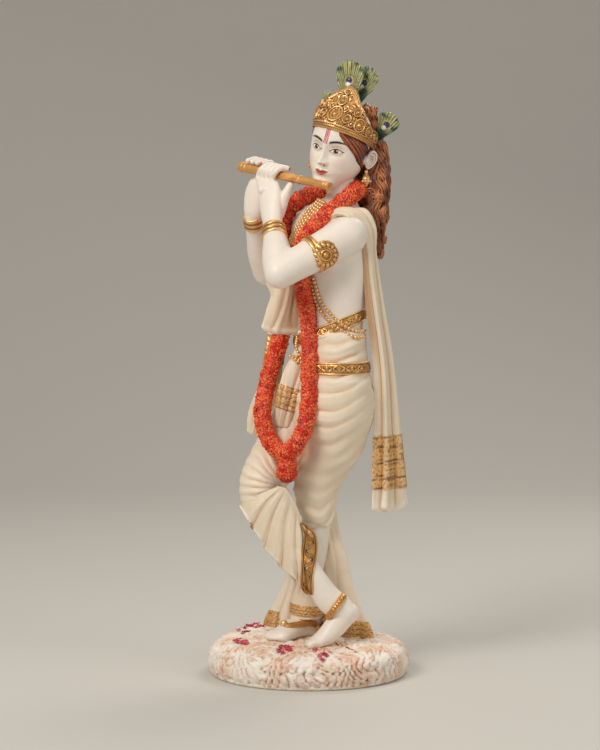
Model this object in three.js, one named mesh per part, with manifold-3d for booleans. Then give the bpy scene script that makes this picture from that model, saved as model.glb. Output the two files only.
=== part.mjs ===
// Flute player on a low round mound, one casting in resin and marble dust, with a loose gold flute.
// Millimetres, +Z up. The origin is the middle of the flat underside. The figure faces -Y.

import * as THREE from "three";
import { mergeVertices } from "three/addons/utils/BufferGeometryUtils.js";
import Module from "manifold-3d";

const wasm = await Module();
wasm.setup();

// Driving sizes
const moundDiameter = 102;
const moundHeight = 18.4;
const figureHeight = 276;
const fluteLength = 62;
const fluteMouthDiameter = 3.8;
const fluteFarDiameter = 5.2;
const garlandDiameter = 8.8;
const bandLift = 0.9;
const featherThickness = 2.4;
const frontFeatherHeight = 27;
const sideFeatherHeight = 17;
const drapeThickness = 10;
const shawlThickness = 5.4;
const fitGap = 0.3;

// The pose is drawn for a figure whose soles are at 18 and whose crown peaks at 294, and then scaled
const drawnSole = 18;
const drawnPeak = 294;
const unit = figureHeight / (drawnPeak - drawnSole);
const soleSink = 0.4;
const soleLevel = moundHeight - soleSink;
const hemSink = 3;

// Turns of the head in degrees: to the left, towards the left shoulder, and bowed
const headYaw = 26;
const headRoll = 14;
const headBow = 4;

const goldLook = { color: 0xc8922e, roughness: 0.38, metalness: 0.55 };
const resinLook = { color: 0xefe6d6, roughness: 0.5, metalness: 0 };

function at(x, y, z) {
  return new THREE.Vector3(x * unit, y * unit, soleLevel + (z - drawnSole) * unit);
}

// A solid from a closed geometry whose shared corners are merged
function solid(geometry) {
  geometry.deleteAttribute("normal");
  geometry.deleteAttribute("uv");
  const merged = mergeVertices(geometry, 1e-4);
  const corners = merged.getAttribute("position").array;
  const index = merged.getIndex().array;
  const kept = [];
  for (let i = 0; i < index.length; i += 3) {
    const [a, b, c] = [index[i], index[i + 1], index[i + 2]];
    if (a !== b && b !== c && c !== a) kept.push(a, b, c);
  }
  const skin = { numProp: 3, vertProperties: new Float32Array(corners), triVerts: new Uint32Array(kept) };
  return new wasm.Manifold(new wasm.Mesh(skin));
}

function signedVolume(faces, points) {
  const corner = (i) => new THREE.Vector3().fromArray(points, 3 * i);
  let total = 0;
  for (let i = 0; i < faces.length; i += 3) {
    const [a, b, c] = [corner(faces[i]), corner(faces[i + 1]), corner(faces[i + 2])];
    total += a.dot(b.cross(c)) / 6;
  }
  return total;
}

// A closed skin over a row of rings that all have the same number of points
function loft(rings) {
  const sides = rings[0].length;
  const points = rings.flat().flatMap((p) => [p.x, p.y, p.z]);
  const faces = [];
  for (let r = 0; r + 1 < rings.length; r++) {
    for (let i = 0; i < sides; i++) {
      const a = r * sides + i;
      const b = r * sides + ((i + 1) % sides);
      faces.push(a, b, b + sides, a, b + sides, a + sides);
    }
  }
  for (const r of [0, rings.length - 1]) {
    const middle = rings[r].reduce((sum, p) => sum.add(p), new THREE.Vector3()).divideScalar(sides);
    const hub = points.length / 3;
    points.push(middle.x, middle.y, middle.z);
    for (let i = 0; i < sides; i++) {
      const a = r * sides + i;
      const b = r * sides + ((i + 1) % sides);
      faces.push(...(r === 0 ? [hub, b, a] : [hub, a, b]));
    }
  }
  if (signedVolume(faces, points) < 0) faces.reverse();
  const geometry = new THREE.BufferGeometry();
  geometry.setAttribute("position", new THREE.Float32BufferAttribute(points, 3));
  geometry.setIndex(faces);
  return solid(geometry);
}

// An oval ring about a centre. The relief adds millimetres outwards at each angle
function oval(centre, across, deep, halfWidth, halfDepth, sides, relief = () => 0) {
  const ring = [];
  for (let i = 0; i < sides; i++) {
    const angle = (2 * Math.PI * i) / sides;
    const wide = Math.cos(angle) * (halfWidth + relief(angle)) * unit;
    const far = Math.sin(angle) * (halfDepth + relief(angle)) * unit;
    ring.push(centre.clone().addScaledVector(across, wide).addScaledVector(deep, far));
  }
  return ring;
}

// Smooth tracks through the columns of a table, read at a share of the way down its rows
function tracksOf(rows) {
  const columns = rows[0].map((_, column) => {
    return new THREE.CatmullRomCurve3(rows.map((row, i) => new THREE.Vector3(i, row[column], 0)));
  });
  return (share) => columns.map((track) => track.getPoint(Math.min(1, Math.max(0, share))).y);
}

const east = new THREE.Vector3(1, 0, 0);
const north = new THREE.Vector3(0, 1, 0);

// Level rings through rows of [z, x, y, half width, half depth]
function levels(rows, sides, steps, relief = () => 0) {
  const sample = tracksOf(rows);
  const rings = [];
  for (let s = 0; s <= steps; s++) {
    const [z, x, y, a, b] = sample(s / steps);
    rings.push(oval(at(x, y, z), east, north, a, b, sides, relief));
  }
  return loft(rings);
}

// The same rows with round folds across them: ridge and valley rings take turns, and every ring
// rises on the side where the cloth is drawn up
function swags(rows, sides, folds, depth, rise, drawnUp) {
  const sample = tracksOf(rows);
  const rings = [];
  const steps = 2 * folds;
  for (let s = 0; s <= steps; s++) {
    const ridge = s % 2 ? depth : -depth;
    const ring = [];
    for (let i = 0; i < sides; i++) {
      const angle = (2 * Math.PI * i) / sides;
      const inside = Math.min(s, steps - s) / steps;
      const share = s / steps - rise * Math.min(1, 5 * inside) * Math.cos(angle - drawnUp);
      const [z, x, y, a, b] = sample(share);
      ring.push(at(x + (a + ridge) * Math.cos(angle), y + (b + ridge) * Math.sin(angle), z));
    }
    rings.push(ring);
  }
  return loft(rings);
}

// Pleats along a swept piece: ridges and valleys take turns around each ring
function pleats(count, depth) {
  return (angle) => depth * Math.cos(count * angle);
}

// A limb, strand or strip swept along a path. Each stop is [x, y, z, half width, half depth]
function limb(stops, across, sides, steps, options = {}) {
  const { relief = () => 0, closeStart = false, closeEnd = false, rounding = [0.5, 0.86] } = options;
  const path = new THREE.CatmullRomCurve3(stops.map(([x, y, z]) => at(x, y, z)));
  const girths = stops.map(([, , , a, b], i) => new THREE.Vector3(i, a, b ?? a));
  const sizes = new THREE.CatmullRomCurve3(girths);
  const side = new THREE.Vector3(...across);
  const rings = [];
  for (let s = 0; s <= steps; s++) {
    const t = s / steps;
    const along = path.getTangent(t);
    const wide = side.clone().addScaledVector(along, -side.dot(along)).normalize();
    const deep = new THREE.Vector3().crossVectors(along, wide);
    const { y: a, z: b } = sizes.getPoint(t);
    rings.push({ centre: path.getPoint(t), wide, deep, a, b, t, along });
  }
  const first = rings[0];
  const last = rings[steps];
  const bulge = (ring, way, part) => {
    const offset = ring.along.clone().multiplyScalar(way * part * Math.min(ring.a, ring.b) * unit);
    const shrink = Math.sqrt(1 - part * part);
    return { ...ring, centre: ring.centre.clone().add(offset), a: ring.a * shrink, b: ring.b * shrink };
  };
  if (closeStart) rings.unshift(...rounding.map((part) => bulge(first, -1, part)).reverse());
  if (closeEnd) rings.push(...rounding.map((part) => bulge(last, 1, part)));
  return loft(rings.map(({ centre, wide, deep, a, b, t }) => {
    return oval(centre, wide, deep, a, b, sides, (angle) => relief(angle, t));
  }));
}

// A swept piece ends in one short round step, or in two smooth ones
const blunt = { closeEnd: true, rounding: [0.7] };

function ball(centre, radii, widthParts, heightParts) {
  const geometry = new THREE.SphereGeometry(1, widthParts, heightParts);
  geometry.scale(...radii.map((r) => r * unit));
  geometry.translate(centre.x, centre.y, centre.z);
  return solid(geometry);
}

// A raised band around a limb: a disc a little wider than the limb that it circles
function band(centre, axis, across, halfWidth, halfDepth, width, sides) {
  const along = new THREE.Vector3(...axis).normalize();
  const side = new THREE.Vector3(...across);
  const wide = side.addScaledVector(along, -side.dot(along)).normalize();
  const deep = new THREE.Vector3().crossVectors(along, wide);
  const [a, b] = [halfWidth + bandLift, halfDepth + bandLift];
  const rings = [-0.5, 0.5].map((part) => {
    return oval(centre.clone().addScaledVector(along, part * width * unit), wide, deep, a, b, sides);
  });
  return loft(rings);
}

function join(solids) {
  return solids.reduce((whole, next) => whole.add(next));
}

function mound() {
  const half = moundDiameter / 2;
  const rim = [[0, 0], [0.97, 0], [1, 0.1], [1, 0.42], [0.96, 0.72], [0.85, 0.89], [0.6, 0.97]];
  const profile = rim.map(([r, z]) => new THREE.Vector2(r * half, z * moundHeight));
  profile.push(new THREE.Vector2(0, moundHeight));
  const geometry = new THREE.LatheGeometry(profile, 24);
  geometry.rotateX(Math.PI / 2);
  return solid(geometry);
}

// Legs under the wrapped cloth, drawn up in folds towards the left hip
function leftThigh() {
  const rows = [
    [150, 14.8, 9, 17, 15], [134, 14, 9.2, 18, 17], [121, 11.6, 8.4, 17, 16.6], [110, 9, 6.6, 15.4, 15.6],
    [101, 5.6, 4, 12.8, 13.4], [93, 4, 2.4, 11.2, 11.8], [86, 3.8, 2, 10, 10.4], [80, 4.8, 2.2, 8.6, 9],
    [75, 5.6, 2, 6.4, 7],
  ];
  return swags(rows, 11, 7, 0.6, 0.13, 0.96);
}

function rightThigh() {
  const stops = [
    [-4, 10, 148, 15, 15], [-5.4, 0, 130, 15.5, 15], [-6.4, -13.4, 112, 13.6, 13.6], [-6, -24, 97, 12, 12],
    [-4.8, -25, 89, 10.6, 10.6], [-2, -22, 80, 8, 8],
  ];
  return limb(stops, [1, 0, 0], 12, 7, { relief: pleats(3, 0.5), closeEnd: true });
}

// The loose end of the cloth hangs from the crossed shin. Its rows are [z, left, right, near, thickness],
// measured across and towards the three-quarter view that the folds fan out for
const viewTurn = (55 * Math.PI) / 180;
const viewRight = new THREE.Vector3(Math.cos(viewTurn), Math.sin(viewTurn), 0);
const viewNear = new THREE.Vector3(Math.sin(viewTurn), -Math.cos(viewTurn), 0);

function atView(right, near, z) {
  const x = right * viewRight.x + near * viewNear.x;
  const y = right * viewRight.y + near * viewNear.y;
  return at(x, y, z);
}

function shinCloth() {
  const rows = [
    [96, -33, -4, 12, 11], [88, -34, 0, 12.4, 10.5], [80, -31.5, 2, 13, 9.5], [72, -28, 4.4, 14, 8.6],
    [64, -23.5, 5.4, 14.6, 7.8], [56, -17.5, 5.2, 15, 6.8], [49, -11.5, 4.6, 15.6, 5.8],
    [43, -6, 3.6, 16, 4.6],
  ];
  const sample = tracksOf(rows);
  const steps = 7;
  const rings = [];
  for (let s = 0; s <= steps; s++) {
    const t = s / steps;
    const [z, left, right, near, depth] = sample(t);
    const middle = atView((left + right) / 2, near, z);
    rings.push(oval(middle, viewRight, viewNear, (right - left) / 2, depth, 16, pleats(8, 0.3 + 0.5 * t)));
  }
  return loft(rings);
}

function shins() {
  const left = [
    [4, 3, 90, 8, 8], [1, 3, 62, 6.6, 6.6], [-2, 1.6, 42, 5, 5], [-3, 0.7, 30, 4.3, 4.6], [-3.6, 2, 20, 4.6, 5],
  ];
  const right = [
    [2, -21, 78, 7, 7], [9, -15, 64, 6.8, 6.8], [17.4, -8, 50, 5.8, 6], [21.8, -2.8, 40.4, 5.4, 7],
    [25.2, 1.9, 35.6, 5.2, 7], [27, 4.6, 33, 4.8, 5.4],
  ];
  return [limb(left, [1, 0, 0], 7, 4), limb(right, [1, 0, 0], 7, 4)];
}

function feet() {
  const leftFoot = [
    [-4.4, 8, 21.6, 4.8, 4.8], [-3.6, 3, 23, 5.2, 6], [-2.4, -5, 22.8, 6, 5.6], [-1, -12.6, 21.6, 6.4, 4.6],
    [0, -18, 20.2, 6.2, 3.5], [0.4, -20.6, 19, 5.6, 2.2],
  ];
  const rightFoot = [
    [27.2, 6.6, 33.6, 4.6, 5], [26.2, 3.6, 32, 4.8, 5.6], [25, -1, 27.4, 5.2, 5.6], [23.4, -6, 22.4, 5.8, 4.6],
    [21.6, -11.4, 19.4, 5.6, 2.9], [20.8, -14, 18.6, 5.2, 2],
  ];
  const sole = { closeStart: true, closeEnd: true };
  return [limb(leftFoot, [1, 0.1, 0], 7, 4, sole), limb(rightFoot, [0.95, -0.3, 0], 7, 4, sole)];
}

// A pleated tail of cloth behind the legs that runs down into the mound
function backDrape() {
  const rows = [
    [drawnSole - hemSink, [20.6, 26.4], [-36, -3.4]], [22, [19, 25], [-34.4, -2.8]], [40, [13.5, 19.5], [-23, -0.5]],
    [58, [10.5, 16.5], [-17, 1]], [76, [7.6, 12.6], [-11, 4]], [94, [6.6, 11.6], [-6, 8]],
    [116, [12, 15], [-3, 13]],
  ];
  const steps = 5;
  const curve = (pick) => new THREE.CatmullRomCurve3(rows.map((row) => at(...pick(row), row[0])));
  const inner = curve((row) => row[1]);
  const outer = curve((row) => row[2]);
  const rings = [];
  for (let s = 0; s <= steps; s++) {
    const t = s / steps;
    const a = inner.getPoint(t);
    const b = outer.getPoint(t);
    const wide = a.clone().sub(b).normalize();
    const deep = new THREE.Vector3(0, 0, 1).cross(wide);
    const half = a.distanceTo(b) / 2 / unit + 2;
    const thick = (drapeThickness / 2) * (1 - 0.3 * t);
    rings.push(oval(a.add(b).multiplyScalar(0.5), wide, deep, half, thick, 16, pleats(8, 0.9 - 0.5 * t)));
  }
  return loft(rings);
}

function pelvis() {
  const rows = [
    [112, 6, 6, 13, 12], [120, 6, 7.4, 22, 19], [130, 6.4, 8.4, 25, 21.6], [140, 6.6, 9, 25.2, 21.4],
    [149, 6.4, 9, 23.6, 19.2], [156, 6, 9.2, 22.4, 17.6], [163, 5.8, 9.6, 21.6, 16.6], [170, 5.6, 10, 21, 16],
    [174, 5.4, 10.4, 20.4, 15.4],
  ];
  return swags(rows, 12, 4, 0.35, 0.05, 0.96);
}

// The body above the cloth, as [z, x, y, half width, half depth]
const torsoRows = [
  [150, 6, 9, 20, 16], [165, 5.6, 9.6, 19.4, 15], [175, 5, 10.5, 18.5, 14], [188, 4.3, 12, 20.5, 15],
  [202, 3.6, 13, 23, 16.3], [214, 3.2, 12, 24, 17], [224, 2.6, 11, 24.6, 16.6], [231, 2.8, 11.6, 21, 14],
  [236, 3.2, 13.6, 13.4, 11.4], [239.5, 4.2, 16, 8.6, 8],
];

function torso() {
  return levels(torsoRows, 12, 8);
}

function neck() {
  return limb([[4, 17, 226, 8.6], [4.4, 16.6, 238, 7.2], [5.2, 15.6, 254, 7.2]], [1, 0, 0], 8, 2);
}

const leftWrist = [-5, -18, 226];
const rightWrist = [-36, -8.8, 230];
const leftArm = { shoulder: [24.6, 6.6, 221.6], elbow: [15.8, -28.4, 203], wrist: leftWrist };
const rightArm = { shoulder: [-20, 9, 223], elbow: [-52.4, 10.6, 201], wrist: rightWrist };

function between(from, to, part) {
  return from.map((value, i) => value + part * (to[i] - value));
}

function arm({ shoulder, elbow, wrist }) {
  const upper = [
    [...shoulder, 9.8, 9.8], [...between(shoulder, elbow, 0.4), 9, 8.8],
    [...between(shoulder, elbow, 0.8), 8, 8], [...elbow, 7.7, 7.7],
  ];
  const lower = [
    [...elbow, 7.6, 7.6], [...between(elbow, wrist, 0.3), 7.9, 7.8], [...between(elbow, wrist, 0.75), 5.8, 5.8],
    [...wrist, 5, 4.4],
  ];
  const round = { closeStart: true, rounding: blunt.rounding };
  return [limb(upper, [0, 0, 1], 9, 3, round), limb(lower, [0.3, 0.3, 1], 9, 4, round)];
}

// The flute runs from its mouth end, beside the chin, out past the right hand
const fluteMouth = at(18.6, -0.2, 245.4);
const fluteAim = new THREE.Vector3(-60.7, -13, 9.7).normalize();
const fluteUp = new THREE.Vector3(0, 0, 1).addScaledVector(fluteAim, -fluteAim.z).normalize();
const fluteFront = new THREE.Vector3().crossVectors(fluteUp, fluteAim).normalize();
if (fluteFront.y > 0) fluteFront.negate();

function fluteRadius(part) {
  return (fluteMouthDiameter + part * (fluteFarDiameter - fluteMouthDiameter)) / 2;
}

// A point beside the flute: how far it lies from the mouth end, a bearing about the flute, and a distance
// off its surface
function byFlute(reach, bearing, off) {
  const angle = (bearing * Math.PI) / 180;
  const radius = fluteRadius((reach * unit) / fluteLength) + off * unit;
  const point = fluteMouth.clone().addScaledVector(fluteAim, reach * unit);
  point.addScaledVector(fluteFront, Math.cos(angle) * radius);
  return point.addScaledVector(fluteUp, Math.sin(angle) * radius);
}

function asDrawn(point) {
  return [point.x / unit, point.y / unit, (point.z - soleLevel) / unit + drawnSole];
}

const fingerRadius = 1.65;
const thumbRadius = 1.6;

// A finger leaves the knuckle, rounds the flute and lies on top of it. Bearings run from under to over,
// and the arch lifts its middle off the flute
function finger(knuckle, reach, lean, bearings, arch = 0) {
  const bends = bearings.map((bearing, i) => {
    const lift = i > 0 && i < 3 ? arch : 0;
    const point = byFlute(reach + (lean * i) / bearings.length, bearing, fingerRadius + lift);
    return [...asDrawn(point), fingerRadius - 0.1 * i];
  });
  return limb([[...knuckle, fingerRadius + 0.4], ...bends], fluteAim.toArray(), 5, 4, blunt);
}

function hands() {
  const leftPalm = [
    [...leftWrist, 5, 4.2], [-8.4, -16.6, 232, 6, 4], [-12.8, -14.5, 240, 6.8, 3.6], [-15.4, -13.2, 244.6, 6, 3],
  ];
  const rightPalm = [
    [...rightWrist, 4.8, 4], [-34.6, -9.4, 233, 5.8, 4], [-32.8, -9.6, 240.5, 6.4, 3.6],
    [-31.4, -9.4, 246, 5.2, 3],
  ];
  const parts = [
    limb(leftPalm, [-0.9, -0.3, -0.3], 7, 3, blunt),
    limb(rightPalm, [-0.9, -0.35, 0.1], 7, 3, blunt),
  ];
  for (let i = 0; i < 4; i++) {
    const leftKnuckle = [-11.9 - 1.8 * i, -12.7 - 1.7 * i, 244.4 - 0.3 * i];
    parts.push(finger(leftKnuckle, 38 + 3.5 * i, -8, [-35, 20, 70, 100], 0.3));
    const rightKnuckle = [-27 - 2.7 * i, -7.4 - 0.7 * i, 246 - 0.2 * i];
    parts.push(finger(rightKnuckle, 41 + 3.4 * i, 6, [-150, 170, 120, 65], 1.3));
  }
  const leftTip = [...asDrawn(byFlute(24.6, -60, thumbRadius)), thumbRadius + 0.2];
  const rightTip = [...asDrawn(byFlute(42.6, -70, thumbRadius)), thumbRadius + 0.2];
  parts.push(limb([[-7.4, -14, 231.6, 3.8], [-6.6, -10.2, 239.6, 2.8], leftTip], [1, 0, 0], 5, 3, blunt));
  parts.push(limb([[-31, -9, 238, 2.5], [-27.4, -9.4, 244, 2.2], rightTip], [1, 0, 0], 5, 3, blunt));
  return parts;
}

// The head has its own axes: x to its left, v forwards and w up
const headCentre = at(5.5, 14.7, 264);
const headTurn = new THREE.Matrix4()
  .makeRotationZ((headYaw * Math.PI) / 180)
  .multiply(new THREE.Matrix4().makeRotationY((headRoll * Math.PI) / 180))
  .multiply(new THREE.Matrix4().makeRotationX((headBow * Math.PI) / 180));

function onHead(x, v, w) {
  return new THREE.Vector3(x, -v, w).applyMatrix4(headTurn).multiplyScalar(unit).add(headCentre);
}

// The head in level slices: [w, half width, reach to the front, reach to the back]
const headRows = [
  [-19.6, 2.2, 12.4, -6], [-18.4, 5.6, 14.4, -2], [-16.4, 8, 14.8, 3], [-13.4, 10.2, 14, 9], [-10, 12, 14.6, 13],
  [-6, 13.4, 14.4, 15.6], [-2, 13.9, 14.2, 17.6], [2.5, 14, 14.8, 19], [7, 13.8, 15, 20], [11, 13.2, 14.2, 20],
  [15, 12, 12.2, 18.4], [18.6, 9, 8.4, 14], [20.8, 3.4, 2.6, 6],
];

const hill = (value, middle, spread) => Math.exp(-(((value - middle) / spread) ** 2));

// How far nose, lips, chin, brow and eyes stand forwards of the slices
function faceRelief(x, w) {
  const side = Math.abs(x);
  const slope = hill(x, 0, 1.9) * (w > -6.2 ? 4.2 * Math.exp(-(w + 6.2) / 4.6) : 4.2 * hill(w, -6.2, 1.1));
  const wings = 1.3 * hill(side, 1.9, 1) * hill(w, -6, 1.2);
  const sockets = -1.3 * hill(side, 5.4, 3.2) * hill(w, 1.2, 2.4);
  const lids = 1 * hill(side, 5.6, 2.3) * hill(w, 0.6, 1.5);
  const brow = 0.5 * hill(side, 5.6, 4.4) * hill(w, 4, 1.6);
  const lips = 0.9 * hill(x, 0, 3) * (hill(w, -9.6, 0.8) + hill(w, -11.6, 0.9));
  const chin = 0.8 * hill(x, 0, 3.4) * hill(w, -16, 2);
  return slope + wings + sockets + lids + brow + lips + chin;
}

function head() {
  const sample = tracksOf(headRows);
  const steps = 14;
  const turns = [0, 10, 22, 38, 60, 95, 140];
  const sides = [...turns, 180, ...turns.slice(1).reverse().map((turn) => -turn)];
  const rings = [];
  for (let s = 0; s <= steps; s++) {
    const [w, wide, front, back] = sample(s / steps);
    const ring = sides.map((turn) => {
      const angle = (turn * Math.PI) / 180;
      const x = wide * Math.sin(angle);
      const level = Math.cos(angle);
      const facing = Math.max(0, level) ** 0.5;
      const v = level * (level > 0 ? front : back) + facing * faceRelief(x, w);
      return onHead(x, v, w);
    });
    rings.push(ring);
  }
  return loft(rings);
}

function ears() {
  return [-1, 1].map((side) => {
    const rim = [[13.4, -4.2, -6.2, 1.8], [14.4, -4.8, -4, 2.8], [14.7, -5.2, -0.8, 3.3], [14, -5.4, 1.8, 2.4]];
    const stops = rim.map(([x, v, w, width]) => [...asDrawn(onHead(side * x, v, w)), width, 2.2]);
    return limb(stops, [0, 1, 0.2], 5, 4, { ...blunt, closeStart: true });
  });
}

// Hair: a knot of curls behind the crown and a wavy fall down the back
function hair() {
  const fall = [
    [277, 1, 32, 7.4, 6], [270, 1.4, 34.4, 8.2, 6.4], [262, 2.4, 35.2, 8.6, 6.6], [253, 5, 34.4, 9, 6.6],
    [244, 8, 32.4, 9, 6.4], [233, 10.4, 30.4, 8, 5.6], [222, 11.2, 29.6, 6, 4.4], [213, 11.4, 29, 4, 3.2],
    [208, 11.4, 28.6, 2, 1.8],
  ];
  const knot = [[8, 30, 281, 5.2], [10, 33, 276, 4.6], [3, 31, 279, 5.2], [6.6, 25, 279, 5]];
  const curls = knot.map(([x, y, z, r]) => ball(at(x, y, z), [r, r, r], 6, 5));
  return [levels(fall, 12, 7, pleats(6, 0.7)), ...curls];
}

// The tiara: a band that drops towards the nape, and a scalloped front that leans back to its peak
const crownFoot = 11.2;
const crownDrop = 0.36;
const crownHalfWidth = 14.2;
const crownFront = 14.4;
const crownBack = 24.6;

function crownHeight(turn) {
  const lobes = 0.8 * Math.abs(Math.cos(turn * 6));
  return 7.8 + 13.8 * Math.exp(-((Math.abs(turn) / 0.92) ** 1.6)) + lobes;
}

function crownPoint(turn, part, off) {
  const height = crownHeight(turn) * part;
  const facing = Math.cos(turn);
  const rim = facing > 0 ? crownFront * facing : crownBack * facing;
  const lean = 0.86 * Math.max(0, facing) * Math.max(0, height - 3.4);
  const x = (crownHalfWidth + off + 0.05 * height) * Math.sin(turn);
  const foot = crownFoot - crownDrop * (crownFront - rim);
  return onHead(x, rim + off * facing - lean, foot + height * 0.93);
}

function crown() {
  const sides = 20;
  const section = [[0, -2], [0, 1.1], [0.22, 1.1], [1, 1], [1, -1.4], [0.22, -2]];
  const corners = section.length;
  const rings = [];
  for (let i = 0; i < sides; i++) {
    const turn = (2 * Math.PI * i) / sides - Math.PI;
    rings.push(section.map(([part, off]) => crownPoint(turn, part, off)));
  }
  const points = rings.flat().flatMap((p) => [p.x, p.y, p.z]);
  const faces = [];
  for (let i = 0; i < sides; i++) {
    for (let k = 0; k < corners; k++) {
      const a = corners * i + k;
      const b = corners * i + ((k + 1) % corners);
      const c = corners * ((i + 1) % sides) + ((k + 1) % corners);
      const d = corners * ((i + 1) % sides) + k;
      faces.push(a, b, c, a, c, d);
    }
  }
  const geometry = new THREE.BufferGeometry();
  geometry.setAttribute("position", new THREE.Float32BufferAttribute(points, 3));
  if (signedVolume(faces, points) < 0) faces.reverse();
  geometry.setIndex(faces);
  const bosses = [
    [0, 0.38, 4.4], [0, 0.7, 2.8], [0.6, 0.6, 2.8], [-0.6, 0.6, 2.8], [0.98, 0.5, 3.4], [-0.98, 0.5, 3.4],
  ];
  const gems = bosses.map(([turn, part, radius]) => {
    return ball(crownPoint(turn, part, 0.2), [0.8 * radius, 0.55 * radius, 0.8 * radius], 6, 4);
  });
  return [solid(geometry), ...gems];
}

// A feather fan with a notched tip, standing on a short quill
function feather(foot, tip, faceAim, width, height) {
  const half = width / 2;
  const outline = new THREE.Shape();
  outline.moveTo(-0.16 * half, 0);
  outline.lineTo(0.16 * half, 0);
  outline.quadraticCurveTo(0.3 * half, 0.3 * height, half, 0.55 * height);
  outline.quadraticCurveTo(1.15 * half, 0.9 * height, 0.42 * half, height);
  outline.quadraticCurveTo(0.1 * half, height, 0, 0.93 * height);
  outline.quadraticCurveTo(-0.1 * half, height, -0.42 * half, height);
  outline.quadraticCurveTo(-1.15 * half, 0.9 * height, -half, 0.55 * height);
  outline.quadraticCurveTo(-0.3 * half, 0.3 * height, -0.16 * half, 0);
  const options = { depth: featherThickness, bevelEnabled: false, curveSegments: 2 };
  const geometry = new THREE.ExtrudeGeometry(outline, options);
  geometry.translate(0, 0, -featherThickness / 2);
  const up = tip.clone().sub(foot).normalize();
  const out = faceAim.clone().addScaledVector(up, -faceAim.dot(up)).normalize();
  const side = new THREE.Vector3().crossVectors(up, out);
  geometry.applyMatrix4(new THREE.Matrix4().makeBasis(side, up, out).setPosition(foot));
  return solid(geometry);
}

function feathers() {
  const near = new THREE.Vector3(0.62, -0.78, 0.1);
  const tall = frontFeatherHeight;
  const small = sideFeatherHeight;
  return [
    feather(atView(20, -3, 281), atView(20.8, -4, 307), near, 13.4, tall),
    feather(atView(22.6, -6, 283), atView(30.6, -8, 303), near, 11.6, tall * 0.86),
    feather(atView(33.4, -9, 267), atView(43, -8, 282), new THREE.Vector3(0.9, -0.4, 0.2), 10.8, small),
    feather(atView(14, -10, 277), atView(9.4, -12, 290.4), new THREE.Vector3(-0.4, -0.9, 0.2), 10, small),
  ];
}

// The garland hangs round the neck and closes low on the thighs. Each stop is [x, y, z]
const garlandRoute = [
  [2, 25, 243], [11, 22.4, 244], [16, 16, 241.6], [16.2, 9, 237.6], [14.8, 0.4, 231], [11.3, -6.5, 224],
  [6.5, -8.9, 215], [4.5, -8.4, 204], [5, -6.5, 194], [7.5, -6, 182], [10, -6.5, 171], [12.5, -8, 160.5],
  [15, -10, 150.5], [17.4, -12, 139], [18.6, -15, 128], [17.6, -18.8, 119.6], [12.5, -22, 114],
  [6, -24.6, 116.6], [1, -26.4, 123], [-2.6, -26, 133], [-6, -21.5, 145.5], [-9, -15.4, 157.6],
  [-12, -8.4, 170], [-15.6, -4.2, 186], [-15.4, -5, 206], [-15.8, -5.4, 220], [-15.8, -3.2, 231],
  [-12.4, 4.8, 239], [-5.4, 18, 243.4], [2, 25, 243],
];

function garland() {
  const half = garlandDiameter / unit / 2;
  const stops = garlandRoute.map((point) => [...point, half]);
  const petals = (angle, t) => 0.5 * Math.cos(3 * angle) * Math.cos(32 * Math.PI * t);
  const pendant = [[11.6, -21.4, 110.6, 2.6], [11.5, -21.4, 106.6, 4.4], [11.3, -21.2, 103, 4.6]];
  return [limb(stops, [0.7, -0.7, 0.1], 6, 32, { relief: petals }), limb(pendant, [1, 0, 0], 6, 3, blunt)];
}

// The shawl lies over the left shoulder, falls down the left side of the back, and passes behind to the
// right arm
function shawl() {
  const half = shawlThickness / 2;
  const fall = [
    [14, 5, 228, 5, half], [19.4, 7.6, 232, 7.4, half], [24.6, 11.4, 231.4, 8, half], [27.4, 15.6, 224.6, 6, half],
    [26.6, 17.8, 213, 4.2, half], [26, 20, 200, 4.8, half], [25.8, 22.8, 185, 5.4, half],
    [25.2, 28.6, 155, 6.8, half], [25, 31.5, 118, 9.4, half], [26, 32.5, 85, 12.6, half],
  ];
  const behind = [
    [24, 19, 224, 6, half], [10, 28.6, 213, 8, half], [-10, 28, 205, 8, half], [-30, 22, 199, 7, half],
    [-47, 15, 199, 5, half],
  ];
  const tail = [
    [-47, 12, 198, 5.6, 4.6], [-41.7, 10.3, 190, 3.8, 4.2], [-34, 4, 180, 5.6, 3.6], [-19.4, -5.6, 170, 4.6, half],
    [-18.6, -8.4, 158, 4.4, half], [-20.4, -9.8, 144, 4.8, half], [-24.4, -12.6, 130, 5.6, half],
    [-26, -13.6, 121, 4.6, 2.5],
  ];
  const lap = [
    [-12, 1, 213, 4, 3], [-11.6, -3.4, 206, 4.2, 3], [-8.8, -8.2, 192, 5.8, 3.2], [-9.5, -9.6, 182, 7.6, 3.4],
    [-10.8, -10, 174, 9, 3.4],
  ];
  return [
    limb(fall, [-0.15, 1, 0], 10, 8, { relief: pleats(5, 0.5) }),
    limb(behind, [0, 0, 1], 6, 5, { relief: pleats(3, 0.4) }),
    limb(tail, viewRight.toArray(), 8, 7, { relief: pleats(4, 0.4) }),
    limb(lap, viewRight.toArray(), 8, 4, { relief: pleats(4, 0.4) }),
  ];
}

function sash() {
  const stops = [[5, -6, 163, 4.6, 2], [4.6, -12.2, 151, 5.4, 2.2], [3.4, -15, 140, 5.2, 2.2], [1.4, -16.4, 127, 4, 2]];
  return limb(stops, viewRight.toArray(), 8, 4, { closeEnd: true });
}

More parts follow.
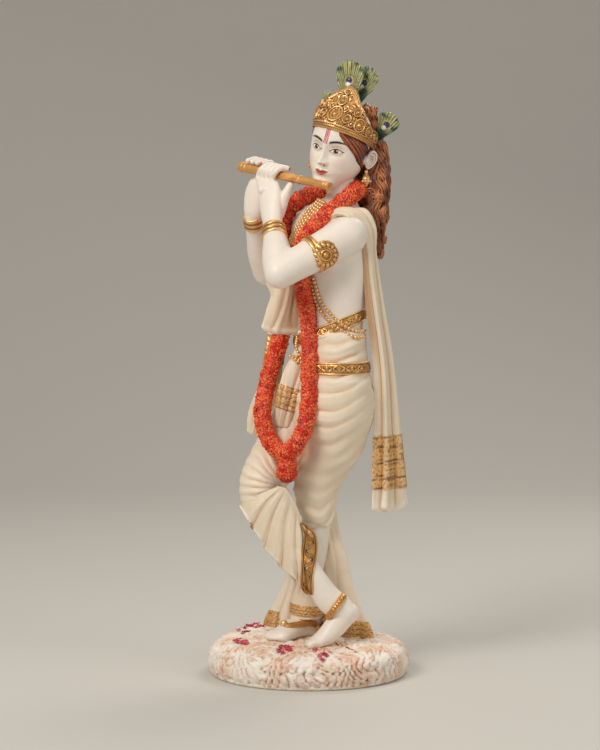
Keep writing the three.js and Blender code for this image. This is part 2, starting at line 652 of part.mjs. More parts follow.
// Gold: belt, hem, armbands, bracelets and anklets
function jewellery() {
  const belt = band(at(6.1, 9.1, 155.6), [0, 0, 1], [1, 0, 0], 23, 18.4, 6.4, 14);
  const hem = band(at(5, 10.2, 175), [-0.22, -0.3, 0.93], [1, 0, 0], 19.8, 15.6, 6.2, 14);
  const bands = [];
  for (const [{ shoulder, elbow, wrist }, cuffPlace] of [[leftArm, 0.84], [rightArm, 0.93]]) {
    const upper = elbow.map((value, i) => value - shoulder[i]);
    const lower = wrist.map((value, i) => value - elbow[i]);
    bands.push(band(at(...between(shoulder, elbow, 0.5)), upper, [0, 0, 1], 8.7, 8.6, 4.4, 8));
    bands.push(band(at(...between(elbow, wrist, cuffPlace)), lower, [0, 0, 1], 5.5, 5.3, 8, 8));
  }
  const medal = ball(at(27.4, -13, 214), [3.4, 5, 6], 6, 5);
  const anklets = [
    band(at(-3, 0.8, 32), [0.05, 0, 1], [1, 0, 0], 5, 5.6, 4.6, 8),
    band(at(24.6, 0, 33), [-0.5, -0.62, 0.62], [0.45, 0.3, 0.66], 8.4, 5, 3, 8),
  ];
  return [belt, hem, ...bands, medal, ...anklets];
}

// The flute's outline from the mouth end to the far end, as [share of the length, extra radius]
function fluteProfile(extra, overrun) {
  const steps = [
    [0, 0.1], [0.02, 0.35], [0.05, 0.35], [0.06, 0], [0.93, 0], [0.94, 0.35], [0.97, 0.35], [1, 0.1],
  ];
  const outline = steps.map(([part, swell]) => {
    return new THREE.Vector2(fluteRadius(part) + swell + extra, part * (fluteLength + 2 * overrun) - overrun);
  });
  return [new THREE.Vector2(0, -overrun), ...outline, new THREE.Vector2(0, fluteLength + overrun)];
}

function toMesh(name, whole, look) {
  const mesh = whole.getMesh();
  const geometry = new THREE.BufferGeometry();
  geometry.setAttribute("position", new THREE.Float32BufferAttribute(mesh.vertProperties, 3));
  geometry.setIndex(Array.from(mesh.triVerts));
  const out = new THREE.Mesh(geometry, new THREE.MeshStandardMaterial(look));
  out.name = name;
  return out;
}

function figure() {
  const body = [
    mound(), leftThigh(), rightThigh(), shinCloth(), ...shins(), ...feet(), backDrape(), pelvis(), torso(),
    neck(), ...arm(leftArm), ...arm(rightArm), ...hands(), head(), ...ears(), ...hair(), ...crown(),
    ...feathers(), ...garland(), ...shawl(), sash(), ...jewellery(),
  ];
  const room = new THREE.LatheGeometry(fluteProfile(fitGap, 1), 8);
  room.applyQuaternion(new THREE.Quaternion().setFromUnitVectors(new THREE.Vector3(0, 1, 0), fluteAim));
  room.translate(fluteMouth.x, fluteMouth.y, fluteMouth.z);
  return toMesh("figure", join(body).subtract(solid(room)), resinLook);
}

function flute() {
  const geometry = new THREE.LatheGeometry(fluteProfile(0, 0), 8);
  const mesh = new THREE.Mesh(geometry, new THREE.MeshStandardMaterial(goldLook));
  mesh.quaternion.setFromUnitVectors(new THREE.Vector3(0, 1, 0), fluteAim);
  mesh.position.copy(fluteMouth);
  mesh.name = "flute";
  return mesh;
}

const group = new THREE.Group();
group.add(figure(), flute());

export default group;
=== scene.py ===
"""The flute player's finish: cast resin, carved folds and florets, umber rubbed into the lines of the gold,
and painted shade and painted highlight on the rest.
"""
import math
import random

import bmesh
import bpy
import numpy as np
from mathutils import Matrix, Vector, noise
from mathutils.bvhtree import BVHTree


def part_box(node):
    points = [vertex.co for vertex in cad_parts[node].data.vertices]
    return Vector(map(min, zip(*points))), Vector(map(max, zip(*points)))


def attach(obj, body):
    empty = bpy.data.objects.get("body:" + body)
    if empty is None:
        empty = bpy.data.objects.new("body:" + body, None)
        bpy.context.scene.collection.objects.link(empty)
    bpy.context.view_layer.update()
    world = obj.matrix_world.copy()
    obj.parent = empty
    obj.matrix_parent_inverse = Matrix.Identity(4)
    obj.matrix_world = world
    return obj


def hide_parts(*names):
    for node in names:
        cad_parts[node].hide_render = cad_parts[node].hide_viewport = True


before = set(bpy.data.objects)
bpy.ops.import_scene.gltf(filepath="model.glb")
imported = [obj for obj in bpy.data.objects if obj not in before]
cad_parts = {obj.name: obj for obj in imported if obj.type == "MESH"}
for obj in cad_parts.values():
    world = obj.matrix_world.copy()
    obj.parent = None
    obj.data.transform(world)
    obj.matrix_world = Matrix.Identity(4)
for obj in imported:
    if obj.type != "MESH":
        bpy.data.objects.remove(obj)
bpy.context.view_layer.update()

# Points below are drawn in millimetres on a figure whose mound is 102 mm across
MOUND_DIAMETER = 102
MOUND_HEIGHT = 18.4
figure_low, figure_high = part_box("figure")
MM = (figure_high.y - figure_low.y) / MOUND_DIAMETER

# The photograph looks at the figure from its front left, at this bearing round from the front
VIEW_BEARING = math.radians(55)
VIEW_DOWN = math.radians(4.8)
VIEW_DISTANCE = 1300
VIEW_HEIGHT = 260
VIEW_SHIFT = -4.25
PHOTO_WIDTH = 600
PHOTO_HEIGHT = 750
FOCAL_PIXELS = 2600
SENSOR = 36

RIGHTWARD = np.array([math.cos(VIEW_BEARING), math.sin(VIEW_BEARING), 0])
NEARWARD = np.array([math.sin(VIEW_BEARING), -math.cos(VIEW_BEARING), 0])
UP = np.array([0, 0, 1.0])

# Turns of the head: to the left, towards the left shoulder, and bowed
HEAD_YAW = math.radians(26)
HEAD_ROLL = math.radians(14)
HEAD_BOW = math.radians(4)
HEAD_CENTRE = np.array([5.5, 14.7, 264])

# Curves and surfaces, as arrays of points


def spline(points, shares):
    """A smooth curve through points, read at shares of the way from the first to the last."""
    pts = np.asarray(points, float)
    pts = np.vstack([2 * pts[0] - pts[1], pts, 2 * pts[-1] - pts[-2]])
    spans = len(pts) - 3
    reach = np.clip(shares, 0, 1) * spans
    first = np.minimum(reach.astype(int), spans - 1)
    w = (reach - first)[:, None]
    p0, p1, p2, p3 = (pts[first + k] for k in range(4))
    d0, d1, d2 = (np.maximum(np.sum((b - a) ** 2, axis=1), 1e-6)[:, None] ** 0.25
                  for a, b in ((p0, p1), (p1, p2), (p2, p3)))
    leave = ((p1 - p0) / d0 - (p2 - p0) / (d0 + d1) + (p2 - p1) / d1) * d1
    arrive = ((p2 - p1) / d1 - (p3 - p1) / (d1 + d2) + (p3 - p2) / d2) * d1
    square = 3 * (p2 - p1) - 2 * leave - arrive
    cube = 2 * (p1 - p2) + leave + arrive
    return p1 + w * (leave + w * (square + w * cube))


def tracks(rows, shares):
    """Each column of a table as its own smooth track."""
    rows = np.asarray(rows, float)
    index = np.arange(len(rows))
    return [spline(np.column_stack([index, column]), shares)[:, 1] for column in rows.T]


def smooth(low, high, value):
    """Rises softly from 0 at low to 1 at high."""
    t = np.clip((value - low) / (high - low), 0, 1)
    return t * t * (3 - 2 * t)


def hill(value, middle, spread):
    """A soft bump that is 1 at its middle."""
    return np.exp(-(((value - middle) / spread) ** 2))


def unit(vector):
    """A vector, or each row of an array, at length 1."""
    vector = np.asarray(vector, float)
    return vector / np.linalg.norm(vector, axis=-1, keepdims=True)


def runs_of(path):
    """How far along a path of points each of them lies."""
    return np.concatenate([[0], np.cumsum(np.linalg.norm(np.diff(path, axis=0), axis=1))])


def there_and_back(u):
    """Goes from 0 to 1 over the front of a flat piece, and back to 0 over its rear."""
    return np.where(u < 0.5, 2 * u, 2 - 2 * u)


def in_view(right, near, z):
    """Points from how far right, near and high they lie for the photograph's camera."""
    return RIGHTWARD * right[:, None] + NEARWARD * near[:, None] + UP * z[:, None]


def wobble(points, size, seed=0):
    """Smooth noise from -1 to 1 whose lumps are about one size across."""
    shift = Vector((7.3 * seed, 3.1 * seed, 11.7 * seed))
    return np.array([noise.noise(Vector(p) / size + shift) for p in points])


def folded(phase):
    """Carved cloth: broad round crests between narrow valleys, from 0 in a valley to 1 on a crest."""
    return np.abs(np.sin(math.pi * phase)) ** 0.62


def levels(rows, relief=None):
    """Level ovals through rows of z, x, y, half width and half depth."""
    def place(u, v):
        z, x, y, a, b = tracks(rows, v)
        angle = 2 * math.pi * u
        lift = relief(angle, z) if relief else 0
        return np.column_stack([x + (a + lift) * np.cos(angle), y + (b + lift) * np.sin(angle), z])
    return place


def sweep(stops, across, relief=None, cap=0.1):
    """An oval swept through stops of x, y, z, half width and half depth. Its round ends are drawn over
    a share of its length, the cap, at either end."""
    full = [stop if len(stop) == 5 else [*stop, stop[3]] for stop in stops]
    path = [stop[:3] for stop in full]
    girth = [[i, *stop[3:]] for i, stop in enumerate(full)]

    def place(u, v):
        reach = v * (1 + 2 * cap) - cap
        t = np.clip(reach, 0, 1)
        centre = spline(path, t)
        along = spline(path, t + 1e-3) - spline(path, t - 1e-3)
        along /= np.maximum(np.linalg.norm(along, axis=1), 1e-9)[:, None]
        side = np.asarray(across, float)
        wide = side - along * (along @ side)[:, None]
        wide = unit(wide)
        deep = np.cross(along, wide)
        half = spline(girth, t)
        a, b = half[:, 1], half[:, 2]
        past = (reach - t) / cap * math.pi / 2
        shrink = np.cos(past)
        centre = centre + along * (np.sin(past) * np.minimum(a, b))[:, None]
        angle = 2 * math.pi * u
        lift = relief(angle, t) if relief else 0
        x = ((a + lift) * np.cos(angle) * shrink)[:, None]
        y = ((b + lift) * np.sin(angle) * shrink)[:, None]
        return centre + wide * x + deep * y
    return place


# Meshes

# Vertices closer than this many millimetres are one
SEAM_GAP = 1e-4
# How much of a vertex's value stays its own in one round of averaging
OWN_SHARE = 0.4


def surface(columns, rows, place, closed=True, capped=True):
    """A grid whose points are moved to place(u, v), with its seam merged and its ends drawn shut. Each
    vertex keeps its u as turn and its v as share."""
    bm = bmesh.new()
    bmesh.ops.create_grid(bm, x_segments=columns, y_segments=rows, size=1)
    turn = bm.verts.layers.float.new("turn")
    share = bm.verts.layers.float.new("share")
    flat = np.array([vert.co for vert in bm.verts])
    u = (flat[:, 0] + 1) / 2
    row = np.rint((flat[:, 1] + 1) / 2 * rows)
    v = np.clip((row - 1) / (rows - 2), 0, 1) if capped else row / rows
    points = place(u, v)
    if capped:
        for end in (0, rows):
            points[row == end] = points[row == end].mean(axis=0)
    for vert, point, a, b in zip(bm.verts, points * MM, u, v):
        vert.co = point
        vert[turn] = a
        vert[share] = b
    if closed:
        bmesh.ops.remove_doubles(bm, verts=bm.verts, dist=SEAM_GAP * MM)
        bmesh.ops.recalc_face_normals(bm, faces=bm.faces)
    return bm


def gathered(name, shapes):
    """One mesh object made of several bmeshes."""
    mesh = bpy.data.meshes.new(name)
    whole = bmesh.new()
    for shape in shapes:
        shape.to_mesh(mesh)
        shape.free()
        whole.from_mesh(mesh)
    mesh.clear_geometry()
    whole.to_mesh(mesh)
    whole.free()
    obj = bpy.data.objects.new(name, mesh)
    bpy.context.scene.collection.objects.link(obj)
    return obj


def spots(obj):
    """Vertex places in drawn millimetres."""
    flat = np.empty(3 * len(obj.data.vertices), np.float32)
    obj.data.vertices.foreach_get("co", flat)
    return flat.reshape(-1, 3).astype(float) / MM


def move_to(obj, points):
    obj.data.vertices.foreach_set("co", (points * MM).astype(np.float32).ravel())
    obj.data.update()


def outward(obj):
    flat = np.empty(3 * len(obj.data.vertices), np.float32)
    obj.data.vertex_normals.foreach_get("vector", flat)
    return flat.reshape(-1, 3).astype(float)


def layer(obj, name):
    flat = np.empty(len(obj.data.vertices), np.float32)
    obj.data.attributes[name].data.foreach_get("value", flat)
    return flat.astype(float)


def averaged(obj, values, rounds):
    """Values spread over neighbouring vertices, so many rounds over."""
    ends = np.empty(2 * len(obj.data.edges), np.int32)
    obj.data.edges.foreach_get("vertices", ends)
    a, b = ends.reshape(-1, 2).T
    count = len(obj.data.vertices)
    links = np.maximum(np.bincount(a, minlength=count) + np.bincount(b, minlength=count), 1)
    out = np.array(values, float)
    out = out.reshape(count, -1)
    for _ in range(rounds):
        summed = np.column_stack([
            np.bincount(a, c[b], count) + np.bincount(b, c[a], count) for c in out.T
        ])
        out = OWN_SHARE * out + (1 - OWN_SHARE) * summed / links[:, None]
    return out.reshape(np.shape(values))


def recesses(obj, rounds, depth):
    """How deep each vertex lies below its softened surroundings: 0 when level, 1 at the given depth."""
    points = spots(obj)
    below = np.sum((averaged(obj, points, rounds) - points) * outward(obj), axis=1)
    return np.clip(below / depth, -1, 1)


def fused(name, shapes, grain, rounds):
    """Overlapping bodies melted into one skin of even grain, and softened."""
    rough = gathered(name, shapes)
    melt = rough.modifiers.new("melt", "REMESH")
    melt.mode = "VOXEL"
    melt.voxel_size = grain * MM
    melt.use_smooth_shade = True
    melted = rough.evaluated_get(bpy.context.evaluated_depsgraph_get())
    mesh = bpy.data.meshes.new_from_object(melted)
    obj = bpy.data.objects.new(name, mesh)
    bpy.data.objects.remove(rough)
    bpy.context.scene.collection.objects.link(obj)
    obj.name = name
    mesh.name = name
    move_to(obj, averaged(obj, spots(obj), rounds))
    return obj


# Colour


def linear(code):
    """An sRGB hex code as a linear colour."""
    parts = [int(code[i:i + 2], 16) / 255 for i in (1, 3, 5)]
    return np.array([p / 12.92 if p <= 0.04045 else ((p + 0.055) / 1.055) ** 2.4 for p in parts])


IVORY = linear("#ead9c0")
FLESH = linear("#f1e8dc")
# Painted shade: a tan and a rose laid in the hollows of cloth and skin
TAN_SHADE = linear("#bb8058")
ROSE_SHADE = linear("#d9a183")
GOLD = linear("#d39a55")
PAINTED_GOLD_HIGHLIGHT = linear("#fbd5a2")
UMBER = linear("#2c1407")
HAIR_BROWN = linear("#5a1a0e")


def over(base, colour, mask):
    """A colour laid over another where the mask says."""
    mask = np.clip(mask, 0, 1)[:, None]
    return base * (1 - mask) + colour * mask


def tint(obj, colours, gilt=None):
    """Keeps a piece's painted colours, and how far each point is gilded, as vertex attributes."""
    count = len(obj.data.vertices)
    rgba = np.ones((count, 4), np.float32)
    rgba[:, :3] = colours
    paint = obj.data.color_attributes.new("paint", "FLOAT_COLOR", "POINT")
    paint.data.foreach_set("color", rgba.ravel())
    metal = obj.data.attributes.new("gilt", "FLOAT", "POINT")
    shares = np.zeros(count) if gilt is None else np.clip(gilt, 0, 1)
    metal.data.foreach_set("value", shares.astype(np.float32))


def flesh_colours(obj, rounds, depth, shade_share, start, end):
    """Skin with rose painted shade in its hollows. The painted shade begins at one depth and is full at
    another.
    """
    low = recesses(obj, rounds, depth)
    return over(np.tile(FLESH, (len(low), 1)), ROSE_SHADE, shade_share * smooth(start, end, low))


def gilded(obj, rounds, depth):
    """Antique gold: painted highlight on what stands up, plain gold on the flats, umber left in every line.
    """
    low = recesses(obj, rounds, depth)
    # Painted highlight on what stands up
    colours = over(np.tile(GOLD, (len(low), 1)), PAINTED_GOLD_HIGHLIGHT, 0.8 * smooth(0, 0.9, -low))
    return over(colours, UMBER, 0.95 * smooth(0.05, 0.5, low))


def add(tree, kind, settings=None, **links):
    """A shader node with its settings, and its inputs linked or set by name, or by number as i0."""
    made = tree.nodes.new(kind)
    for key, value in (settings or {}).items():
        setattr(made, key, value)
    for key, value in links.items():
        numbered = key[0] == "i" and key[1:].isdigit()
        socket = made.inputs[int(key[1:]) if numbered else key.replace("_", " ")]
        if isinstance(value, bpy.types.NodeSocket):
            tree.links.new(value, socket)
        else:
            socket.default_value = value
    return made


# How wide the brush mottling and the worn spots of the paint are, in millimetres
BRUSH = 5
WEAR = 1.6
GILT_ROUGHNESS = 0.34


def painted(name, roughness, grain, dent, mottle, coat=0.0, glow=0.0):
    """Hand-painted resin. Its colour comes from the paint attribute, broken up by brush mottling, and
    its surface from a fine grain in millimetres that dents it."""
    material = bpy.data.materials.new(name)
    material.use_nodes = True
    tree = material.node_tree
    shader = tree.nodes["Principled BSDF"]
    place = add(tree, "ShaderNodeTexCoord").outputs["Object"]
    colour = add(tree, "ShaderNodeAttribute", {"attribute_name": "paint"}).outputs["Color"]
    gilt = add(tree, "ShaderNodeAttribute", {"attribute_name": "gilt"}).outputs["Fac"]
    brush = add(tree, "ShaderNodeTexNoise", Vector=place, Scale=1 / (BRUSH * MM), Detail=5.0, Roughness=0.62)
    shade = add(tree, "ShaderNodeMapRange",
                Value=brush.outputs["Fac"], i1=0.3, i2=0.7, i3=1 - mottle, i4=1 + mottle)
    toned = add(tree, "ShaderNodeVectorMath", {"operation": "SCALE"},
                i0=colour, Scale=shade.outputs["Result"])
    tree.links.new(toned.outputs["Vector"], shader.inputs["Base Color"])
    tree.links.new(gilt_share(tree, gilt, 0.0, 0.7), shader.inputs["Metallic"])
    worn = add(tree, "ShaderNodeTexNoise", Vector=place, Scale=1 / (WEAR * MM), Detail=4.0)
    rough = gilt_share(tree, gilt, roughness, GILT_ROUGHNESS)
    uneven = add(tree, "ShaderNodeMapRange", Value=worn.outputs["Fac"], i1=0.3, i2=0.7, i3=-0.07, i4=0.09)
    total = add(tree, "ShaderNodeMath", {"operation": "ADD"}, i0=rough, i1=uneven.outputs["Result"])
    tree.links.new(total.outputs["Value"], shader.inputs["Roughness"])
    fine = add(tree, "ShaderNodeTexNoise", Vector=place, Scale=1 / (grain * MM), Detail=3.0)
    bump = add(tree, "ShaderNodeBump", Strength=1.0, Distance=dent * MM, Height=fine.outputs["Fac"])
    tree.links.new(bump.outputs["Normal"], shader.inputs["Normal"])
    shader.inputs["Coat Weight"].default_value = coat
    shader.inputs["Coat Roughness"].default_value = 0.25
    shader.inputs["Subsurface Weight"].default_value = glow
    shader.inputs["Subsurface Radius"].default_value = (1.0, 0.7, 0.5)
    shader.inputs["Subsurface Scale"].default_value = 2 * MM
    shader.inputs["IOR"].default_value = 1.5
    return material


def gilt_share(tree, gilt, plain, golden):
    """A value that goes from plain paint to gold paint with the gilt attribute."""
    return add(tree, "ShaderNodeMapRange", Value=gilt, i3=plain, i4=golden).outputs["Result"]


def dress(obj, material):
    """Gives a piece its finish and lets it stand for the cast solid."""
    obj.data.materials.clear()
    obj.data.materials.append(material)
    obj.data.shade_smooth()
    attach(obj, "root")
    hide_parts("flute" if obj.name.startswith("flute") else "figure")
    return obj


# Cast polyester resin with marble dust, sanded by hand: satin, a little light passes under its surface
RESIN = painted("satin_cast_resin", 0.42, 0.5, 0.02, 0.025, glow=0.12)
# The same resin left as carved, so that the cloth looks drier than the skin
CARVED_RESIN = painted("carved_cloth_resin", 0.5, 0.45, 0.035, 0.035, glow=0.08)
# Antique gold lacquer over resin, rubbed back so that the dark undercoat shows in the lines
GOLD_PAINT = painted("antique_gold_lacquer", 0.4, 0.35, 0.05, 0.09)
# Matt orange-red craft paint; the lighter petal tips are painted highlight
PETAL_PAINT = painted("petal_craft_paint", 0.46, 0.4, 0.03, 0.07, glow=0.16)
# Semi-gloss brown paint, with copper streaks along the locks, painted highlight on their crests and painted
# shade in their grooves
HAIR_PAINT = painted("hair_craft_paint", 0.36, 0.35, 0.04, 0.1)
# Glossy green enamel with gold barbs
FEATHER_PAINT = painted("feather_enamel", 0.3, 0.3, 0.03, 0.08, coat=0.3)
# Rough-carved resin with colour dabbed on the strokes
MOUND_RESIN = painted("stroked_mound_resin", 0.56, 0.4, 0.06, 0.05, glow=0.05)

# The photograph's camera, and points of it laid back on the figure

eye = NEARWARD * VIEW_DISTANCE + UP * VIEW_HEIGHT + RIGHTWARD * VIEW_SHIFT
ahead = -NEARWARD * math.cos(VIEW_DOWN) - UP * math.sin(VIEW_DOWN)
above = np.cross(RIGHTWARD, ahead)


def set_camera():
    camera = bpy.data.objects.new("camera", bpy.data.cameras.new("camera"))
    bpy.context.scene.collection.objects.link(camera)
    camera.data.sensor_width = SENSOR
    camera.data.lens = SENSOR * FOCAL_PIXELS / max(PHOTO_WIDTH, PHOTO_HEIGHT)
    camera.data.clip_start = 0.01
    camera.location = Vector(eye) * MM
    camera.rotation_mode = "QUATERNION"
    camera.rotation_quaternion = Vector(ahead).to_track_quat("-Z", "Y")
    bpy.context.scene.camera = camera


def beneath(obj):
    """A search tree of a piece's faces, in drawn millimetres."""
    faces = [tuple(face.vertices) for face in obj.data.polygons]
    return BVHTree.FromPolygons([Vector(p) for p in spots(obj)], faces)


def laid(pixels, trees, lift=0.0, within=100):
    """Points of the photograph laid on the nearest of some pieces, and the way that it faces there. What
    comes nearer than the given nearness is passed over."""
    found = []
    for x, y in pixels:
        right = (x - PHOTO_WIDTH / 2) / FOCAL_PIXELS
        rise = (PHOTO_HEIGHT / 2 - y) / FOCAL_PIXELS
        way = ahead + RIGHTWARD * right + above * rise
        start = Vector(eye + way * ((within - VIEW_DISTANCE) / (way @ NEARWARD)))
        way = Vector(way).normalized()
        hits = [hit for hit in (tree.ray_cast(start, way) for tree in trees) if hit[0] is not None]
        if hits:
            place, facing, _, _ = min(hits, key=lambda hit: hit[3])
            found.append((np.array(place) + lift * np.array(facing), np.array(facing)))
    return found


def skin_depth(points, way, trees, start=60.0):
    """How far along a way the outermost of some pieces reaches, seen from outside. NaN where it is missed."""
    reach = np.full(len(points), np.nan)
    for index, point in enumerate(points):
        flat = point - way * (point @ way)
        for tree in trees:
            hit = tree.ray_cast(Vector(flat + way * start), Vector(-way))
            if hit[0] is not None:
                reach[index] = np.nanmax([reach[index], start - hit[3]])
    return reach


# Skin

TORSO = [
    [150, 6, 9, 20, 16], [165, 5.6, 9.6, 19.4, 15], [175, 5, 10.5, 18.5, 14], [188, 4.3, 12, 20.5, 15],
    [202, 3.6, 13, 23, 16.3], [214, 3.2, 12, 24, 17], [224, 2.6, 11, 24.6, 16.6], [231, 2.8, 11.6, 21, 14],
    [236, 3.2, 13.6, 13.4, 11.4], [239.5, 4.2, 16, 8.6, 8],
]
NECK = [[4, 17, 226, 8.6], [4.4, 16.6, 238, 7.2], [5.2, 15.6, 254, 7.2]]
LEFT_ARM = {"shoulder": [24.6, 6.6, 221.6], "elbow": [15.8, -28.4, 203], "wrist": [-5, -18, 226]}
RIGHT_ARM = {"shoulder": [-20, 9, 223], "elbow": [-52.4, 10.6, 201], "wrist": [-36, -8.8, 230]}


def between(start, end, part):
    return [a + part * (b - a) for a, b in zip(start, end)]


def torso_relief(angle, z):
    """Breast muscles in front, the groove of the spine behind, and the navel."""
    front = np.abs(np.angle(np.exp(1j * (angle + math.pi / 2))))
    back = np.abs(np.angle(np.exp(1j * (angle - math.pi / 2))))
    breast = 1.3 * hill(front, 0.55, 0.4) * hill(z, 210, 8) - 0.7 * hill(front, 0, 0.14) * hill(z, 208, 16)
    spine = -1.5 * hill(back, 0, 0.2) * hill(z, 196, 26)
    blades = 0.9 * hill(back, 0.6, 0.35) * hill(z, 212, 9)
    navel = -0.8 * hill(front, 0, 0.07) * hill(z, 183, 1.4)
    return breast + spine + blades + navel


def arm(limb):
    """The upper arm and the forearm."""
    shoulder, elbow, wrist = limb["shoulder"], limb["elbow"], limb["wrist"]
    upper = [[*shoulder, 9.8, 9.8], [*between(shoulder, elbow, 0.4), 9, 8.8],
             [*between(shoulder, elbow, 0.8), 8, 8], [*elbow, 7.7, 7.7]]
    lower = [[*elbow, 7.6, 7.6], [*between(elbow, wrist, 0.3), 7.9, 7.8],
             [*between(elbow, wrist, 0.75), 5.8, 5.8], [*wrist, 5, 4.4],
             [*between(elbow, wrist, 1.03), 4.2, 3.8]]
    return [surface(40, 60, sweep(upper, UP)), surface(40, 60, sweep(lower, [0.3, 0.3, 1]))]


def make_body():
    shapes = [surface(90, 110, levels(TORSO, torso_relief)), surface(40, 30, sweep(NECK, [1, 0, 0]))]
    shapes += arm(LEFT_ARM) + arm(RIGHT_ARM)
    body = fused("skin_body", shapes, 0.62, 14)
    tint(body, flesh_colours(body, 40, 1.2, 0.5, 0.1, 1))
    return dress(body, RESIN)


# Hands round the flute

FLUTE_MOUTH = np.array([18.6, -0.2, 245.4])
FLUTE_LENGTH = 62
FLUTE_MOUTH_DIAMETER = 3.8
FLUTE_FAR_DIAMETER = 5.2
FLUTE_AIM = unit([-60.7, -13, 9.7])
FLUTE_UP = unit(UP - FLUTE_AIM * FLUTE_AIM[2])
FLUTE_FRONT = np.cross(FLUTE_UP, FLUTE_AIM)
if FLUTE_FRONT[1] > 0:
    FLUTE_FRONT = -FLUTE_FRONT
FINGER_RADIUS = 1.65
THUMB_RADIUS = 1.6
FINGER_ROOM = 0.25
# The places in the list of fingers of those whose nails show
NAILED = (0, 1, 2, 8)


def flute_radius(part):
    return (FLUTE_MOUTH_DIAMETER + part * (FLUTE_FAR_DIAMETER - FLUTE_MOUTH_DIAMETER)) / 2


def by_flute(reach, bearing, off):
    """A point beside the flute: how far from the mouth end, a bearing about it, and how far off it."""
    angle = math.radians(bearing)
    radius = flute_radius(reach / FLUTE_LENGTH) + off
    round_it = FLUTE_FRONT * math.cos(angle) + FLUTE_UP * math.sin(angle)
    return FLUTE_MOUTH + FLUTE_AIM * reach + round_it * radius


def finger(knuckle, reach, lean, bearings, arch=0.0):
    """A finger from its knuckle round the flute. The arch lifts its middle off the flute."""
    bends = []
    for i, bearing in enumerate(bearings):
        off = FINGER_RADIUS + FINGER_ROOM + arch * (1 if 0 < i < 3 else 0)
        bends.append([*by_flute(reach + lean * i / len(bearings), bearing, off), FINGER_RADIUS - 0.1 * i])
    return [[*knuckle, FINGER_RADIUS + 0.4], *bends]


def finger_stops():
    """Four fingers of each hand in turn, then the left thumb and the right thumb."""
    stops = []
    for i in range(4):
        left = [-11.2 - 1.5 * i, -12.5 - 1.6 * i, 244.4 - 0.3 * i]
        stops.append(finger(left, 36 + 3.1 * i, -8, (-35, 20, 70, 100), 0.3))
        right = [-27 - 2.7 * i, -7.4 - 0.7 * i, 246 - 0.2 * i]
        stops.append(finger(right, 41 + 3.4 * i, 6, (-150, 170, 120, 65), 1.3))
    left_tip = by_flute(24.6, -60, THUMB_RADIUS + FINGER_ROOM)
    right_tip = by_flute(42.6, -70, THUMB_RADIUS + FINGER_ROOM)
    stops.append([[-7.4, -14, 231.6, 3.8], [-6.6, -10.2, 239.6, 2.8], [*left_tip, 1.8]])
    stops.append([[-31, -9, 238, 2.5], [-27.4, -9.4, 244, 2.2], [*right_tip, 1.8]])
    return stops


def make_hands():
    left = [[*LEFT_ARM["wrist"], 5, 4.2], [-8.4, -16.6, 232, 6, 4], [-12.8, -14.5, 240, 6.8, 3.6],
            [-15.4, -13.2, 244.6, 6, 3]]
    right = [[*RIGHT_ARM["wrist"], 4.8, 4], [-34.6, -9.4, 233, 5.8, 4], [-32.8, -9.6, 240.5, 6.4, 3.6],
             [-31.4, -9.4, 246, 5.2, 3]]
    shapes = [surface(40, 50, sweep(left, [-0.9, -0.3, -0.3])),
              surface(40, 50, sweep(right, [-0.9, -0.35, 0.1]))]
    stops = finger_stops()
    shapes += [surface(20, 44, sweep(stop, FLUTE_AIM)) for stop in stops]
    hands = fused("skin_hands", shapes, 0.3, 4)
    points = spots(hands)
    colours = flesh_colours(hands, 24, 0.5, 0.65, 0.05, 0.9)
    for index in NAILED:
        tip = np.array(stops[index][-1][:3])
        nail = tip + 0.7 * unit(tip - np.array(stops[index][-2][:3]))
        away = np.linalg.norm(points - nail, axis=1)
        colours = over(colours, linear("#c2303a"), 0.9 * smooth(1.45, 1.0, away))
    tint(hands, colours)
    return dress(hands, RESIN)


# Feet

SHINS = [
    [[4, 3, 90, 8, 8], [1, 3, 62, 6.6, 6.6], [-2, 1.6, 42, 5, 5], [-3, 0.7, 30, 4.3, 4.6],
     [-3.6, 2, 20, 4.6, 5]],
    [[2, -21, 78, 7, 7], [9, -15, 64, 6.8, 6.8], [17.4, -8, 50, 5.8, 6], [21.8, -2.8, 40.4, 5.4, 7],
     [25.2, 1.9, 35.6, 5.2, 7], [26.8, 4.4, 33.4, 5, 5.8]],
]
FEET = [
    [[-4.4, 8, 21.6, 4.8, 4.8], [-3.6, 3, 23, 5.2, 6], [-2.4, -5, 22.8, 6, 5.6], [-1, -12.6, 21.6, 6.4, 4.6],
     [0, -18, 20.2, 6.2, 3.5]],
    [[27.2, 6.6, 33.6, 4.6, 5], [26.2, 3.6, 32, 4.8, 5.6], [25, -1, 27.4, 5.2, 5.6],
     [23.4, -6, 22.4, 5.8, 4.6], [21.6, -11.4, 19.4, 5.6, 2.9]],
]
# Each toe: how far across, how far it reaches and its radius
TOE_SPREAD = [(-4.2, 3.6, 1.9), (-1.7, 3.9, 1.5), (0.4, 3.5, 1.4), (2.3, 2.8, 1.3), (4.1, 1.8, 1.2)]


def toes(foot, inner):
    """Five toes at the end of a foot, the big one on its inner side."""
    end = np.array(foot[-1][:3])
    aim = end - np.array(foot[-2][:3])
    aim[2] = 0
    aim = unit(aim)
    side = np.cross(UP, aim) * inner
    rows = []
    for across, reach, radius in TOE_SPREAD:
        root = end + side * across - aim * 1.5
        tip = end + side * across * 1.04 + aim * reach
        middle = [*(root * 0.4 + tip * 0.6), radius * 1.06]
        middle[2] += 0.5
        rows.append([[*root, radius], middle, [*(tip - UP * 0.5), radius]])
    return rows


def make_feet():
    shapes = []
    rows = toes(FEET[0], 1) + toes(FEET[1], -1)
    for stops in SHINS:
        shapes.append(surface(36, 60, sweep(stops, [1, 0, 0])))
    shapes.append(surface(40, 50, sweep(FEET[0], [1, 0.1, 0])))
    shapes.append(surface(40, 50, sweep(FEET[1], [0.95, -0.3, 0])))
    shapes += [surface(16, 24, sweep(toe, [1, 0, 0], cap=0.3)) for toe in rows]
    feet = fused("skin_feet", shapes, 0.42, 6)
    tint(feet, flesh_colours(feet, 24, 0.5, 0.7, 0.05, 0.9))
    return dress(feet, RESIN)


# The wrapped cloth: round folds swing from the left hip, and a fan of folds springs from behind the knee

